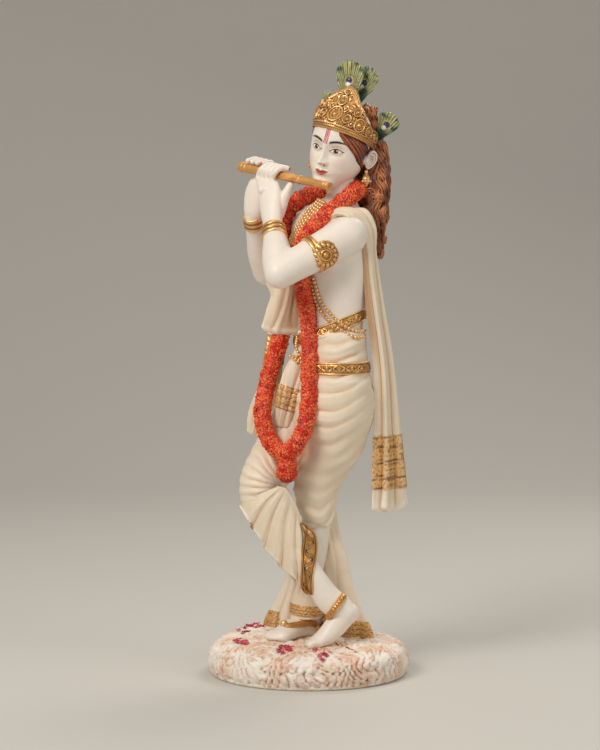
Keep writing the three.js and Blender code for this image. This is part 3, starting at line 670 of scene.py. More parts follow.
LEFT_THIGH = [
    [150, 14.8, 9, 17, 15], [134, 14, 9.2, 18, 17], [121, 11.6, 8.4, 17, 16.6], [110, 9, 6.6, 15.4, 15.6],
    [101, 5.6, 4, 12.8, 13.4], [93, 4, 2.4, 11.2, 11.8], [86, 3.8, 2, 10, 10.4], [80, 4.8, 2.2, 8.6, 9],
    [75, 5.6, 2, 6.4, 7],
]
RIGHT_THIGH = [
    [-4, 10, 148, 15, 15], [-5.4, 0, 130, 15.5, 15], [-6.4, -13.4, 112, 13.6, 13.6], [-6, -24, 97, 12, 12],
    [-4.8, -25, 89, 10.6, 10.6], [-2, -22, 80, 8, 8],
]
PELVIS = [
    [112, 6, 6, 13, 12], [120, 6, 7.4, 22, 19], [130, 6.4, 8.4, 25, 21.6], [140, 6.6, 9, 25.2, 21.4],
    [149, 6.4, 9, 23.6, 19.2], [156, 6, 9.2, 22.4, 17.6], [163, 5.8, 9.6, 21.6, 16.6], [170, 5.6, 10, 21, 16],
    [174, 5.4, 10.4, 20.4, 15.4],
]
# The curtain of cloth below the crossed knee, as height, left edge, right edge, nearness and half depth
CURTAIN = [
    [96, -33, -4, 12, 11], [88, -34, 0, 12.4, 10.5], [80, -31.5, 2, 13, 9.5], [72, -28, 4.4, 14, 8.6],
    [64, -23.5, 5.4, 14.6, 7.8], [56, -17.5, 5.2, 15, 6.8], [49, -11.5, 4.6, 15.6, 5.8],
    [43, -6, 3.6, 16, 4.6], [38, -3, 3.2, 16, 4],
]
FAN_PIVOT = np.array([-11, 96])
# How high a swinging fold is, and how many degrees a fold of the fan spans from where they are counted
SWAG_HEIGHT = 8.4
FAN_STEP = 13
FAN_START = 150


def view_flat(points):
    """How far right and how far near each point is for the photograph's camera, without its height."""
    return points @ RIGHTWARD, points @ NEARWARD


def swag_phase(right, z):
    """Counts the swinging folds: level lines that rise towards the left hip."""
    middle = np.interp(z, [67, 86, 110, 134, 170], [7, 7, 12, 15, 13])
    half = np.interp(z, [67, 86, 110, 134, 170], [6, 12, 16, 18, 22])
    s = (right - middle) / half
    swing = np.interp(z, [90, 120, 160], [21, 19, 8])
    lift = swing * np.maximum(0, s + 0.3) ** 2 / 1.7 + 4 * np.maximum(0, -s - 0.3) ** 1.3
    return (z - lift) / SWAG_HEIGHT, s


def fan_phase(right, z):
    """Counts the folds of the fan by their bearing about its pivot."""
    angle = np.degrees(np.arctan2(z - FAN_PIVOT[1], right - FAN_PIVOT[0])) % 360
    return (angle - FAN_START) / FAN_STEP


def distance_to(points, path):
    """The distance from each point to a path of points."""
    nearest = np.full(len(points), 1e9)
    for a, b in zip(path[:-1], path[1:]):
        a, b = np.array(a, float), np.array(b, float)
        run = b - a
        t = np.clip((points - a) @ run / (run @ run), 0, 1)
        nearest = np.minimum(nearest, np.linalg.norm(points - a - t[:, None] * run, axis=1))
    return nearest


def make_dhoti():
    shapes = [
        surface(110, 120, levels(LEFT_THIGH)),
        surface(90, 100, sweep(RIGHT_THIGH, [1, 0, 0])),
        surface(120, 90, levels(PELVIS)),
    ]
    cloth = fused("dhoti", shapes, 0.66, 26)
    points = spots(cloth)
    right = points @ RIGHTWARD
    z = points[:, 2]
    left_path = [[x, y, height] for height, x, y, _, _ in LEFT_THIGH[1:]]
    right_path = [stop[:3] for stop in RIGHT_THIGH[1:]]
    nearer = distance_to(points, left_path) - distance_to(points, right_path)
    on_right = smooth(-4, 6, nearer) * smooth(146, 128, z)
    warp = 0.34 * wobble(points * [1, 1, 0.7], 24, 1) + 0.16 * wobble(points, 9, 2)
    strength = 0.75 + 0.7 * wobble(points, 20, 3)
    phase, s = swag_phase(right, z)
    swags = carved(phase + warp) + 0.3 * strength * carved(2.1 * phase + 1.9 * warp + 0.3)
    swags *= 0.5 + 0.5 * smooth(0.95, 0.3, s)
    reach = np.hypot(right - FAN_PIVOT[0], z - FAN_PIVOT[1])
    fan = carved(fan_phase(right, z) + 1.6 * warp) * smooth(2, 12, reach) * smooth(34, 14, reach)
    lifts = (1 - on_right) * swags * strength * 1.05 + on_right * fan * 0.75
    settled = smooth(174, 168, z)
    move_to(cloth, points + outward(cloth) * ((lifts - 0.55) * settled)[:, None])
    tint(cloth, cloth_colours(cloth))
    return dress(cloth, CARVED_RESIN)


def carved(phase):
    """A fold that climbs slowly and drops off sharply, as a knife leaves it in clay."""
    part = phase % 1
    return np.sin(math.pi * part ** 1.5) ** 0.9


def cloth_colours(cloth):
    """Ivory cloth, with painted highlight on its broad rises, and painted shade broad in the hollows and
    sharp in the folds.
    """
    fine = recesses(cloth, 14, 0.4)
    broad = recesses(cloth, 70, 1.5)
    colours = np.tile(IVORY, (len(fine), 1))
    # Painted highlight on the broad rises, painted shade in the broad hollows
    colours = over(colours, linear("#f6ebdb"), 0.85 * smooth(0, 0.7, -broad))
    colours = over(colours, linear("#d3ad80"), 0.85 * smooth(-0.05, 0.8, broad))
    # Painted shade in the folds, rose and then tan in the deepest
    colours = over(colours, ROSE_SHADE, 0.42 * smooth(0.1, 0.8, fine))
    return over(colours, TAN_SHADE, 0.4 * smooth(0.45, 1, fine) + 0.3 * smooth(0.6, 1, broad))


# The paper sweep: its length and width, how far it comes forward, where its bend begins, how much of its
# length the bend takes up and the bend's radius, all in millimetres
PAPER_LENGTH = 3600
PAPER_WIDTH = 4200
PAPER_FORWARD = 1400
BEND_START = 700
BEND_LENGTH = 900
BEND_RADIUS = 573
# Each light panel: how far right, near and high it stands in millimetres, its width and its power in watts
PANELS = [
    (-520, 620, 760, 420, 5.8), (620, 420, 420, 380, 1.1), (300, -500, 760, 460, 2.6),
    (-100, 200, 1100, 500, 1.2),
]


def sweep_place(u, v):
    """A paper sweep: flat under the figure, then curving up behind it."""
    reach = v * PAPER_LENGTH - PAPER_FORWARD
    bend = np.clip((reach - BEND_START) / BEND_LENGTH, 0, 1) * math.pi / 2
    past = np.maximum(0, reach - (BEND_START + BEND_LENGTH))
    back = np.minimum(reach, BEND_START) + BEND_RADIUS * np.sin(bend)
    high = BEND_RADIUS * (1 - np.cos(bend)) + past
    return in_view((u - 0.5) * PAPER_WIDTH, -back, high)


def set_stage():
    """A pale paper sweep, and soft studio light from large panels."""
    floor = gathered("floor", [surface(8, 80, sweep_place, closed=False, capped=False)])
    if floor.data.polygons[0].normal.z < 0:
        floor.data.flip_normals()
    floor.data.shade_smooth()
    material = bpy.data.materials.new("pale_paper_sweep")
    material.use_nodes = True
    tree = material.node_tree
    shader = tree.nodes["Principled BSDF"]
    shader.inputs["Base Color"].default_value = (*linear("#cfccc6"), 1)
    shader.inputs["Roughness"].default_value = 0.8
    # Seen from behind, the paper lets the view through, so that the back of the figure shows too
    clear = tree.nodes.new("ShaderNodeBsdfTransparent")
    behind = tree.nodes.new("ShaderNodeNewGeometry").outputs["Backfacing"]
    either = tree.nodes.new("ShaderNodeMixShader")
    tree.links.new(behind, either.inputs[0])
    tree.links.new(shader.outputs["BSDF"], either.inputs[1])
    tree.links.new(clear.outputs["BSDF"], either.inputs[2])
    tree.links.new(either.outputs["Shader"], tree.nodes["Material Output"].inputs["Surface"])
    floor.data.materials.append(material)
    world = bpy.data.worlds.new("studio")
    world.use_nodes = True
    bpy.context.scene.world = world
    background = world.node_tree.nodes["Background"]
    background.inputs["Color"].default_value = (*linear("#e6e2dc"), 1)
    background.inputs["Strength"].default_value = 0.36
    for index, (right, near, high, width, power) in enumerate(PANELS):
        light = bpy.data.lights.new("panel_%d" % index, "AREA")
        light.size = width * MM
        light.energy = power
        light.color = (1.0, 0.95, 0.88)
        lamp = bpy.data.objects.new(light.name, light)
        place = Vector(RIGHTWARD * right + NEARWARD * near + UP * high)
        lamp.location = place * MM
        lamp.rotation_mode = "QUATERNION"
        lamp.rotation_quaternion = (Vector((0, 0, 160)) - place).to_track_quat("-Z", "Y")
        bpy.context.scene.collection.objects.link(lamp)
    bpy.context.scene.view_settings.view_transform = "Standard"


# The head, in its own axes: x to its left, v forwards and w up


def turned(angle, axis):
    c, s = math.cos(angle), math.sin(angle)
    about = {
        "X": [[1, 0, 0], [0, c, -s], [0, s, c]],
        "Y": [[c, 0, s], [0, 1, 0], [-s, 0, c]],
        "Z": [[c, -s, 0], [s, c, 0], [0, 0, 1]],
    }
    return np.array(about[axis])


HEAD_TURN = turned(HEAD_YAW, "Z") @ turned(HEAD_ROLL, "Y") @ turned(HEAD_BOW, "X")
# Level slices of the head, as height, half width, reach to the front and reach to the back
HEAD = [
    [-19.6, 2.2, 12.4, -6], [-18.4, 5.6, 14.4, -2], [-16.4, 8, 14.8, 3], [-13.4, 10.2, 14, 9],
    [-10, 12, 14.6, 13], [-6, 13.4, 14.4, 15.6], [-2, 13.9, 14.2, 17.6], [2.5, 14, 14.8, 19],
    [7, 13.8, 15, 20], [11, 13.2, 14.2, 20], [15, 12, 12.2, 18.4], [18.6, 9, 8.4, 14], [20.8, 3.4, 2.6, 6],
]
EYE_X = 5.6
EYE_W = 0.6
EYE_HALF = 2.9
BROW_W = 4.3
NOSE_W = -5.6
MOUTH_W = -10.7
MOUTH_HALF = 3.7


def on_head(x, v, w):
    return np.column_stack([x, -v, w]) @ HEAD_TURN.T + HEAD_CENTRE


def off_head(points):
    local = (points - HEAD_CENTRE) @ HEAD_TURN
    return local[:, 0], -local[:, 1], local[:, 2]


def upper_lid(side):
    run = (side - EYE_X) / EYE_HALF
    return EYE_W + 1.25 * np.maximum(0, 1 - np.abs(run) ** 2.2) + 0.25 * run


def lower_lid(side):
    run = (side - EYE_X) / EYE_HALF
    return EYE_W - 0.85 * np.maximum(0, 1 - np.abs(run) ** 2.2) + 0.25 * run


def brow_line(side):
    return BROW_W + 1.2 * (1 - ((side - 6.6) / 4.6) ** 2)


def mouth_line(x):
    return MOUTH_W + 0.035 * x ** 2 - 0.25 * hill(x, 0, 0.9)


def face_relief(x, w):
    """How far nose, lips, chin, lids and brows stand forwards of the slices."""
    side = np.abs(x)
    bridge = 0.2 + 0.8 * np.exp(-(np.maximum(0, w - NOSE_W) / 4.6) ** 1.25)
    rise = np.where(w > NOSE_W, bridge, hill(w, NOSE_W, 1.0))
    nose = 4.7 * rise * smooth(8, 3.5, w) * np.exp(-(side / (1.5 + 0.55 * hill(w, NOSE_W, 1.8))) ** 2.2)
    wings = 1.35 * hill(side, 2.15, 0.85) * hill(w, -5.9, 1.05)
    nostrils = -0.8 * hill(side, 1.2, 0.45) * hill(w, -7, 0.45)
    sockets = -1.6 * hill(side, 5.4, 3.4) * hill(w, 1.3, 2.7)
    bulge = ((side - EYE_X) / 3.2) ** 2 + ((w - EYE_W) / 2) ** 2
    eyes = 1.3 * np.sqrt(np.maximum(0, 1 - bulge))
    near_eye = smooth(EYE_HALF + 0.5, EYE_HALF - 0.4, np.abs(side - EYE_X))
    lids = 0.4 * hill(w - upper_lid(side), 0.35, 0.36) + 0.22 * hill(w - lower_lid(side), -0.3, 0.3)
    lids *= near_eye
    crease = -0.3 * near_eye * hill(w - upper_lid(side), 1.15, 0.3)
    brows = 0.55 * hill(side, 5.8, 4.4) * hill(w, BROW_W, 1.6)
    cheeks = 0.7 * hill(side, 7.6, 3.2) * hill(w, -4.2, 3.4)
    philtrum = -0.25 * hill(x, 0, 0.5) * hill(w, -8.3, 0.9)
    above = w - mouth_line(x)
    lips = hill(x, 0, 2.7) * (1.0 * hill(above, 0.75, 0.62) + 1.25 * hill(above, -0.85, 0.7))
    lips = lips - 0.6 * hill(x, 0, 3.2) * hill(above, 0, 0.22)
    chin = 1.0 * hill(x, 0, 3.4) * hill(w, -16.2, 2) - 0.5 * hill(x, 0, 3) * hill(w, -13.5, 0.9)
    return nose + wings + nostrils + sockets + eyes + lids + crease + brows + cheeks + philtrum + lips + chin


def head_place(u, v):
    w, wide, front, back = tracks(HEAD, v)
    part = 2 * u - 1
    angle = math.pi * np.sign(part) * np.abs(part) ** 1.35
    x = wide * np.sin(angle)
    level = np.cos(angle)
    facing = np.maximum(0, level) ** 0.5
    reach = level * np.where(level > 0, front, back) + facing * face_relief(x, w)
    return on_head(x, reach, w)


def face_paint(head):
    """Hand-painted brows, eyes, lips and the mark on the brow, and the scalp in the colour of the hair."""
    x, v, w = off_head(spots(head))
    side = np.abs(x)
    front = smooth(2, 5, v)
    colours = flesh_colours(head, 16, 0.5, 0.45, 0.1, 1)
    scalp = np.maximum(smooth(-6.5, -8.5, v) * smooth(-11, -8, w), smooth(17, 19, w))
    colours = over(colours, HAIR_BROWN, scalp)
    colours = over(colours, linear("#e9b29c"), 0.3 * front * hill(side, 7.8, 3) * hill(w, -4.6, 2.6))
    lid_tone = front * hill(side, EYE_X, 3.1) * hill(w, EYE_W + 1.6, 1.2)
    colours = over(colours, linear("#b98a74"), 0.5 * lid_tone)
    upper, lower = upper_lid(side), lower_lid(side)
    open_eye = front * smooth(0.12, -0.12, w - upper) * smooth(-0.12, 0.12, w - lower)
    open_eye *= smooth(EYE_HALF + 0.05, EYE_HALF - 0.15, np.abs(side - EYE_X))
    colours = over(colours, linear("#f3ece0"), open_eye)
    iris = np.hypot(side - EYE_X, w - EYE_W - 0.15)
    colours = over(colours, linear("#5b2d14"), open_eye * smooth(1.25, 1.08, iris))
    colours = over(colours, linear("#0c0706"), open_eye * smooth(0.66, 0.5, iris))
    glint = np.hypot(x - np.sign(x) * EYE_X - 0.4, w - EYE_W - 0.55)
    colours = over(colours, np.ones(3), open_eye * smooth(0.34, 0.22, glint))
    lash = front * hill(w - upper, 0.05, 0.26) * smooth(EYE_HALF + 0.75, EYE_HALF + 0.2, np.abs(side - EYE_X))
    colours = over(colours, linear("#140c0a"), 1.2 * lash)
    under = front * hill(w - lower, -0.05, 0.17)
    under *= smooth(EYE_HALF + 0.1, EYE_HALF - 0.2, np.abs(side - EYE_X))
    colours = over(colours, linear("#3b2119"), 0.85 * under)
    thick = 0.5 * smooth(11, 6, side) + 0.12
    brow = front * hill(w - brow_line(side), 0, thick) * smooth(1.7, 2.5, side) * smooth(11.2, 10.2, side)
    colours = over(colours, linear("#120c0c"), 1.3 * brow)
    above = w - mouth_line(x)
    edge = np.maximum(0, 1 - (x / MOUTH_HALF) ** 2)
    bow = 1.4 * edge * (1 - 0.25 * hill(x, 0, 0.7))
    foot = -1.65 * edge
    lips = front * smooth(bow + 0.1, bow - 0.2, above) * smooth(foot - 0.1, foot + 0.2, above)
    lips *= smooth(MOUTH_HALF + 0.1, MOUTH_HALF - 0.3, np.abs(x))
    colours = over(colours, linear("#c23a3c"), 0.9 * lips)
    colours = over(colours, linear("#5c1518"), 0.8 * lips * hill(above, 0, 0.16))
    # Painted shade in the nostrils
    nostril_shade = front * hill(side, 1.2, 0.4) * hill(w, -7, 0.4)
    colours = over(colours, linear("#7a3326"), nostril_shade)
    mark = front * smooth(3.4, 4.2, w) * smooth(1.25, 1.05, side)
    colours = over(colours, linear("#e08a92"), 0.85 * mark)
    lines = mark * np.maximum(hill(side, 0.98, 0.22), hill(side, 0, 0.24) * smooth(4.4, 5.4, w))
    return over(colours, linear("#b01f3a"), lines)


def make_head():
    head = gathered("skin_head", [surface(260, 240, head_place)])
    tint(head, face_paint(head))
    return dress(head, RESIN)


EAR = np.array([16.2, -5, -2.2])


def ear(hand):
    """One ear: a rolled rim round a hollow, with a soft lobe."""
    centre = EAR * [hand, 1, 1]
    back = np.array([hand * 0.62, -0.78, 0.08])
    up = np.array([hand * 0.04, -0.1, 1.0])
    out = unit(np.cross(up, back) * hand)

    def place(u, v):
        angle = 2 * math.pi * u
        inner = v < 0.7
        radius = np.where(inner, v / 0.7, (1 - v) / 0.3)
        low = np.maximum(0, -np.sin(angle))
        wide = 3.3 * (1 - 0.35 * low ** 2) * radius
        tall = 5.1 * radius
        rim = 1.1 * hill(radius, 0.86, 0.13) * (1 - 0.7 * low)
        hollow = -1.5 * hill(radius, 0.1, 0.45) * (1 - 0.6 * low)
        hollow = hollow + 0.6 * hill(radius, 0.56, 0.1) * (1 - low)
        depth = np.where(inner, rim + hollow, -1.6)
        depth = np.where(radius > 0.96, 0, depth)
        local = centre + back * (wide * np.cos(angle))[:, None] + up * (tall * np.sin(angle))[:, None]
        local = local + out * depth[:, None]
        return on_head(local[:, 0], local[:, 1], local[:, 2])
    steps = np.array([[-hand * 3.4, 1.4, -0.6], [-hand * 1.4, 0.4, -0.4]])
    root = [[*on_head(*(centre + step)[:, None])[0], 2.6, 3.6] for step in steps]
    return [surface(48, 34, place), surface(20, 16, sweep(root, UP))]


def make_ears():
    ears = gathered("skin_ears", ear(1) + ear(-1))
    move_to(ears, averaged(ears, spots(ears), 2))
    low = recesses(ears, 10, 0.5)
    # Painted shade in the ear's hollows
    tint(ears, over(np.tile(FLESH, (len(low), 1)), linear("#b9755a"), 0.95 * smooth(-0.1, 0.45, low)))
    return dress(ears, RESIN)


# Hair


def hair_colours(low, points):
    """Red-brown hair with copper streaks: painted highlight in copper along the crests of the locks, painted
    shade near black in the grooves.
    """
    colours = np.tile(HAIR_BROWN, (len(low), 1))
    streak = smooth(-0.4, 0.7, wobble(points * [1, 1, 0.5], 6, 5))
    colours = over(colours, linear("#9c4520"), 0.8 * streak)
    # Painted highlight on the crests, then painted shade in the grooves
    colours = over(colours, linear("#e0945f"), 0.95 * smooth(0.2, 0.9, -low) * (0.25 + 0.85 * streak))
    return over(colours, linear("#180504"), 0.95 * smooth(-0.1, 0.4, low))


# Where the hair starts, in degrees round from the brow, for heights up the head, on its left and its right
HAIRLINE_HEIGHTS = [-14, -9, -5.5, -3, 0, 3, 5.5, 8, 10.5, 14]
HAIRLINE_LEFT = [124, 104, 81, 67, 57, 44, 32, 22, 12, 4]
HAIRLINE_RIGHT = [124, 110, 96, 88, 82, 74, 64, 50, 32, 4]
# The cap of hair starts at this height up the head, and rises so far
CAP_FOOT = -14
CAP_RISE = 33.5


def crown_foot(turn):
    """The height of the tiara's lower edge at a bearing round the head."""
    facing = np.cos(turn)
    rim = np.where(facing > 0, CROWN_FRONT, CROWN_BACK) * facing
    return CROWN_FOOT - CROWN_DROP * (CROWN_FRONT - rim)


def hair_cap_place(u, v):
    """Hair combed back from the temples, over the ears and round the nape, and flat under the tiara."""
    w = CAP_FOOT + CAP_RISE * v
    shares = np.interp(w, [row[0] for row in HEAD], np.linspace(0, 1, len(HEAD)))
    _, wide, front, back = tracks(HEAD, shares)
    first = np.radians(np.interp(w, HAIRLINE_HEIGHTS, HAIRLINE_LEFT))
    last = 2 * math.pi - np.radians(np.interp(w, HAIRLINE_HEIGHTS, HAIRLINE_RIGHT))
    angle = first + u * (last - first)
    edge = smooth(0, 0.06, np.minimum(u, 1 - u)) * smooth(0, 0.06, v)
    turn = np.degrees(np.minimum(angle, 2 * math.pi - angle))
    flow = (turn * 0.5 + w * 1.9) / 4.4 + 0.6 * np.sin(w * 0.35 + turn * 0.05)
    strands = 0.6 * folded(flow) + 0.3 * folded(2.7 * flow + np.sin(turn * 0.1))
    below = smooth(1.5, -2.5, w - crown_foot(angle))
    by_ear = hill(np.hypot(turn - 106, 3 * (w - EAR[2])), 0, 17)
    lift = -0.9 + edge * (0.7 + below * (0.9 + strands)) - 1.5 * by_ear
    x = (wide + lift) * np.sin(angle)
    level = np.cos(angle)
    reach = level * (np.where(level > 0, front, back) + lift)
    return on_head(x, reach, w)


# Level slices of the hair's fall, as height, middle x and y, half width and half depth
HAIR_FALL = [
    [277, 1, 32, 7.4, 6], [270, 1.4, 34.4, 8.2, 6.4], [262, 2.4, 35.2, 8.6, 6.6], [253, 5, 34.4, 9, 6.6],
    [244, 8, 32.4, 9, 6.4], [233, 10.4, 30.4, 8, 5.6], [222, 11.2, 29.6, 6, 4.4], [213, 11.4, 29, 4, 3.2],
    [208, 11.4, 28.6, 2, 1.8],
]


def fall_relief(angle, z):
    wave = 0.7 * np.sin(z * 0.5 + 2 * np.sin(3 * angle))
    return 0.8 * folded(9 * angle / math.pi + wave) - 0.3


def grooved(depth, count, twist):
    """Grooves along a lock, which wind round it."""
    def relief(angle, t):
        return depth * np.cos(count * angle + twist * t)
    return relief


def fall_at(z):
    """The fall's middle and half sizes at a height."""
    rows = np.array(HAIR_FALL[::-1])
    return [np.interp(z, rows[:, 0], rows[:, k]) for k in (1, 2, 3, 4)]


def lock(bearing, start, length, sway, twist, girth):
    """One wavy lock that runs down the fall and curls up at its tip."""
    count = 26
    stops = []
    for i in range(count):
        t = i / (count - 1)
        z = start - length * t
        mid_x, mid_y, wide, deep = fall_at(z)
        angle = bearing + (sway * math.sin(t * 17 + twist)) / 9
        off = 0.2 + 1.1 * math.sin(t * 17 + twist * 1.7) + 0.7 * t
        point = [mid_x + (wide + off) * math.cos(angle), mid_y + (deep + off) * math.sin(angle), z]
        stops.append([*point, girth * (1.05 - 0.45 * t), girth * 0.72 * (1.05 - 0.45 * t)])
    x, y, z = stops[-1][:3]
    way = 1 if math.sin(twist) > 0 else -1
    for k in range(1, 7):
        r = 2.3 - 0.22 * k
        around = np.array([-math.sin(bearing), math.cos(bearing), 0]) * way * r * math.sin(k)
        outwards = np.array([math.cos(bearing), math.sin(bearing), 0]) * 0.25 * k
        point = np.array([x, y, z - 2.3]) + around + outwards + UP * r * math.cos(k)
        stops.append([*point, girth * (0.6 - 0.06 * k), girth * (0.5 - 0.05 * k)])
    across = [-math.sin(bearing), math.cos(bearing), 0.2]
    return surface(24, 80, sweep(stops, across, grooved(0.34, 7, 6)))


def curl(centre, radius, facing, girth, seed):
    """A round curl wound in on itself."""
    facing = unit(facing)
    side = unit(np.cross(facing, UP))
    up = np.cross(side, facing)
    stops = []
    for k in range(15):
        angle = seed + k * 0.75
        r = radius * (1 - 0.055 * k)
        point = centre + side * r * math.cos(angle) + up * r * math.sin(angle) + facing * 0.14 * k
        stops.append([*point, girth * (1 - 0.035 * k)])
    return surface(12, 60, sweep(stops, facing, grooved(0.18, 4, 5)))


# The knot's bunches of curls, as x, y, z and radius
KNOTS = [(8, 30, 281, 5.2), (10, 33, 276, 4.6), (3, 31, 279, 5.2), (6.6, 25, 279, 5)]


def make_hair():
    cap = gathered("hair_cap", [surface(190, 110, hair_cap_place, closed=False, capped=False)])
    low = recesses(cap, 8, 0.3)
    tint(cap, hair_colours(low, spots(cap)))
    dress(cap, HAIR_PAINT)
    draw = random.Random(4)
    shapes = [surface(96, 110, levels(HAIR_FALL, fall_relief))]
    for i in range(24):
        bearing = -0.9 + 4.6 * (i + draw.uniform(-0.3, 0.3)) / 24
        start = draw.uniform(264, 277)
        length = start - draw.uniform(213, 238)
        sway, twist = draw.uniform(1.6, 2.8), draw.uniform(0, 6.3)
        shapes.append(lock(bearing, start, length, sway, twist, draw.uniform(2.1, 2.8)))
    for _ in range(28):
        z = draw.uniform(211, 243)
        bearing = draw.uniform(-1.1, 3.4)
        mid_x, mid_y, wide, deep = fall_at(z)
        out = np.array([math.cos(bearing), math.sin(bearing), 0])
        centre = np.array([mid_x, mid_y, z]) + out * [wide + 1.2, deep + 1.2, 0]
        shapes.append(curl(centre, draw.uniform(1.9, 2.9), out, 1.15, draw.uniform(0, 6)))
    fall = gathered("hair_fall", shapes)
    tint(fall, hair_colours(recesses(fall, 6, 0.25), spots(fall)))
    dress(fall, HAIR_PAINT)
    shapes = []
    for x, y, z, r in KNOTS:
        middle = np.array([x, y, z])
        ball = [[x, y, z - r + 1, 2], [x, y, z, r - 0.8], [x, y, z + r - 1, 2]]
        shapes.append(surface(20, 16, sweep(ball, [1, 0, 0])))
        for _ in range(7):
            out = unit([draw.uniform(-1, 1), draw.uniform(-0.4, 1), draw.uniform(-0.5, 1)])
            spot = middle + out * (r - 1.1)
            shapes.append(curl(spot, draw.uniform(1.5, 2.2), out, 0.9, draw.uniform(0, 6)))
    knot = gathered("hair_knot", shapes)
    tint(knot, hair_colours(recesses(knot, 6, 0.25), spots(knot)))
    return dress(knot, HAIR_PAINT)


# The tiara

CROWN_FOOT = 11.2
CROWN_DROP = 0.36
CROWN_HALF_WIDTH = 14.2
CROWN_FRONT = 14.4
CROWN_BACK = 24.6
# The radius on which lengths round the tiara are counted
CROWN_RADIUS = 15.8
# Round bosses, as degrees round the tiara, height and radius in millimetres
BOSSES = [
    (0, 8.2, 4.1), (0, 14.9, 2.7), (0, 19.3, 1.5), (27, 7.4, 2.4), (40, 12.2, 2.5), (56, 6.9, 3.6),
    (85, 6.2, 3.3), (112, 5.8, 2.9), (135, 5.4, 2.6), (157, 5.3, 2.6), (180, 5.3, 2.6),
]
# Scrolls between the bosses: degrees round, height, radius in millimetres and which way they wind
SCROLLS = [
    (11, 4.9, 1.7, 1), (14, 11.8, 1.9, -1), (26, 12.6, 1.8, 1), (12, 17, 1.5, 1), (40, 6, 1.8, -1),
    (52, 11.3, 1.6, 1), (70.5, 5.2, 1.8, 1), (70, 9.2, 1.4, -1), (99, 4.9, 1.6, -1), (124, 4.8, 1.4, 1),
    (147, 4.7, 1.3, -1),
]
# Where the tiara's edge rises in a lobe, in degrees round
LOBES = (56, 85, 112, 135, 157)


def crown_height(turn):
    lobes = sum(1.2 * hill(np.abs(turn), math.radians(place), 0.17) for place in LOBES)
    return 7.8 + 13.8 * np.exp(-(np.abs(turn) / 0.92) ** 1.6) + lobes


def crown_place(turn, part, off):
    height = crown_height(turn) * part
    facing = np.cos(turn)
    rim = np.where(facing > 0, CROWN_FRONT, CROWN_BACK) * facing
    lean = 0.86 * np.maximum(0, facing) * np.maximum(0, height - 3.4)
    x = (CROWN_HALF_WIDTH + off + 0.05 * height) * np.sin(turn)
    return on_head(x, rim + off * facing - lean, crown_foot(turn) + height * 0.93)


def crown_relief(turn, part):
    """Cast relief: two rows of beads along the foot, bosses ringed with beads, and scrolls between."""
    along = CROWN_RADIUS * turn
    high = part * crown_height(turn)
    rows = 0.5 * (hill(high, 0.55, 0.4) + hill(high, 3.1, 0.4))
    beads = rows * (0.35 + 0.65 * np.abs(np.cos(along * math.pi / 1.15)))
    fillet = 0.35 * hill(high, 1.8, 0.45)
    rim = 0.5 * smooth(0.86, 0.93, part) * smooth(1, 0.97, part)
    stems = np.cos(2.1 * along + 1.5 * np.sin(0.8 * high))
    field = smooth(3.4, 4, high) * (0.25 * hill(stems, 0, 0.3) - 0.3)
    for degrees, height, radius, hand in SCROLLS:
        for way in (1, -1):
            x = along * way - CROWN_RADIUS * math.radians(degrees)
            q = np.hypot(x, high - height) / radius
            angle = np.arctan2(high - height, x)
            wound = 0.75 * np.maximum(0, np.cos(angle - hand * 8.5 * q)) ** 0.7 - 0.25
            inside = smooth(1.05, 0.95, q)
            field = field * (1 - inside) + np.maximum(wound, 0.7 * hill(q, 0, 0.22)) * inside
    for degrees, height, radius in BOSSES:
        place = CROWN_RADIUS * math.radians(degrees)
        for way in ((1,) if degrees == 0 else (1, -1)):
            q = np.hypot(along - way * place, high - height) / radius
            angle = np.arctan2(high - height, along - way * place)
            boss = 1.0 * hill(q, 0.86, 0.11) + 1.3 * hill(q, 0, 0.3) - 0.15
            boss = boss + 0.45 * hill(q, 0.6, 0.1) * (0.4 + 0.6 * np.abs(np.cos(5 * angle)))
            inside = smooth(1.08, 0.98, q)
            field = field * (1 - inside) + boss * inside
            rim = rim * (1 - inside)
    return beads + fillet + rim + field


def make_crown():
    """The tiara. Its section runs up the outer face, over the top and down the inner face."""
    def place(u, v):
        turn = math.pi * (2 * v - 1)
        outer = u < 0.62
        part = np.where(outer, np.minimum(1, u / 0.6), np.maximum(0, (1 - u) / 0.36))
        off = np.where(outer, 0.55 + crown_relief(turn, part) * smooth(0, 0.02, u), -1.2)
        off = np.where(u > 0.985, -1.2 + (u - 0.985) / 0.015 * 1.6, off)
        return crown_place(turn, part, off)
    crown = gathered("crown", [surface(96, 560, place, capped=False)])
    tint(crown, gilded(crown, 8, 0.3), np.ones(len(crown.data.vertices)))
    return dress(crown, GOLD_PAINT)


# Peacock feathers behind the tiara

FEATHER_THICKNESS = 2.4
FRONT_FEATHER = 27
SIDE_FEATHER = 17


def at_view(right, near, z):
    return RIGHTWARD * right + NEARWARD * near + UP * z


# The middle of a feather's eye, as a share of its height
EYE_AT = 0.62


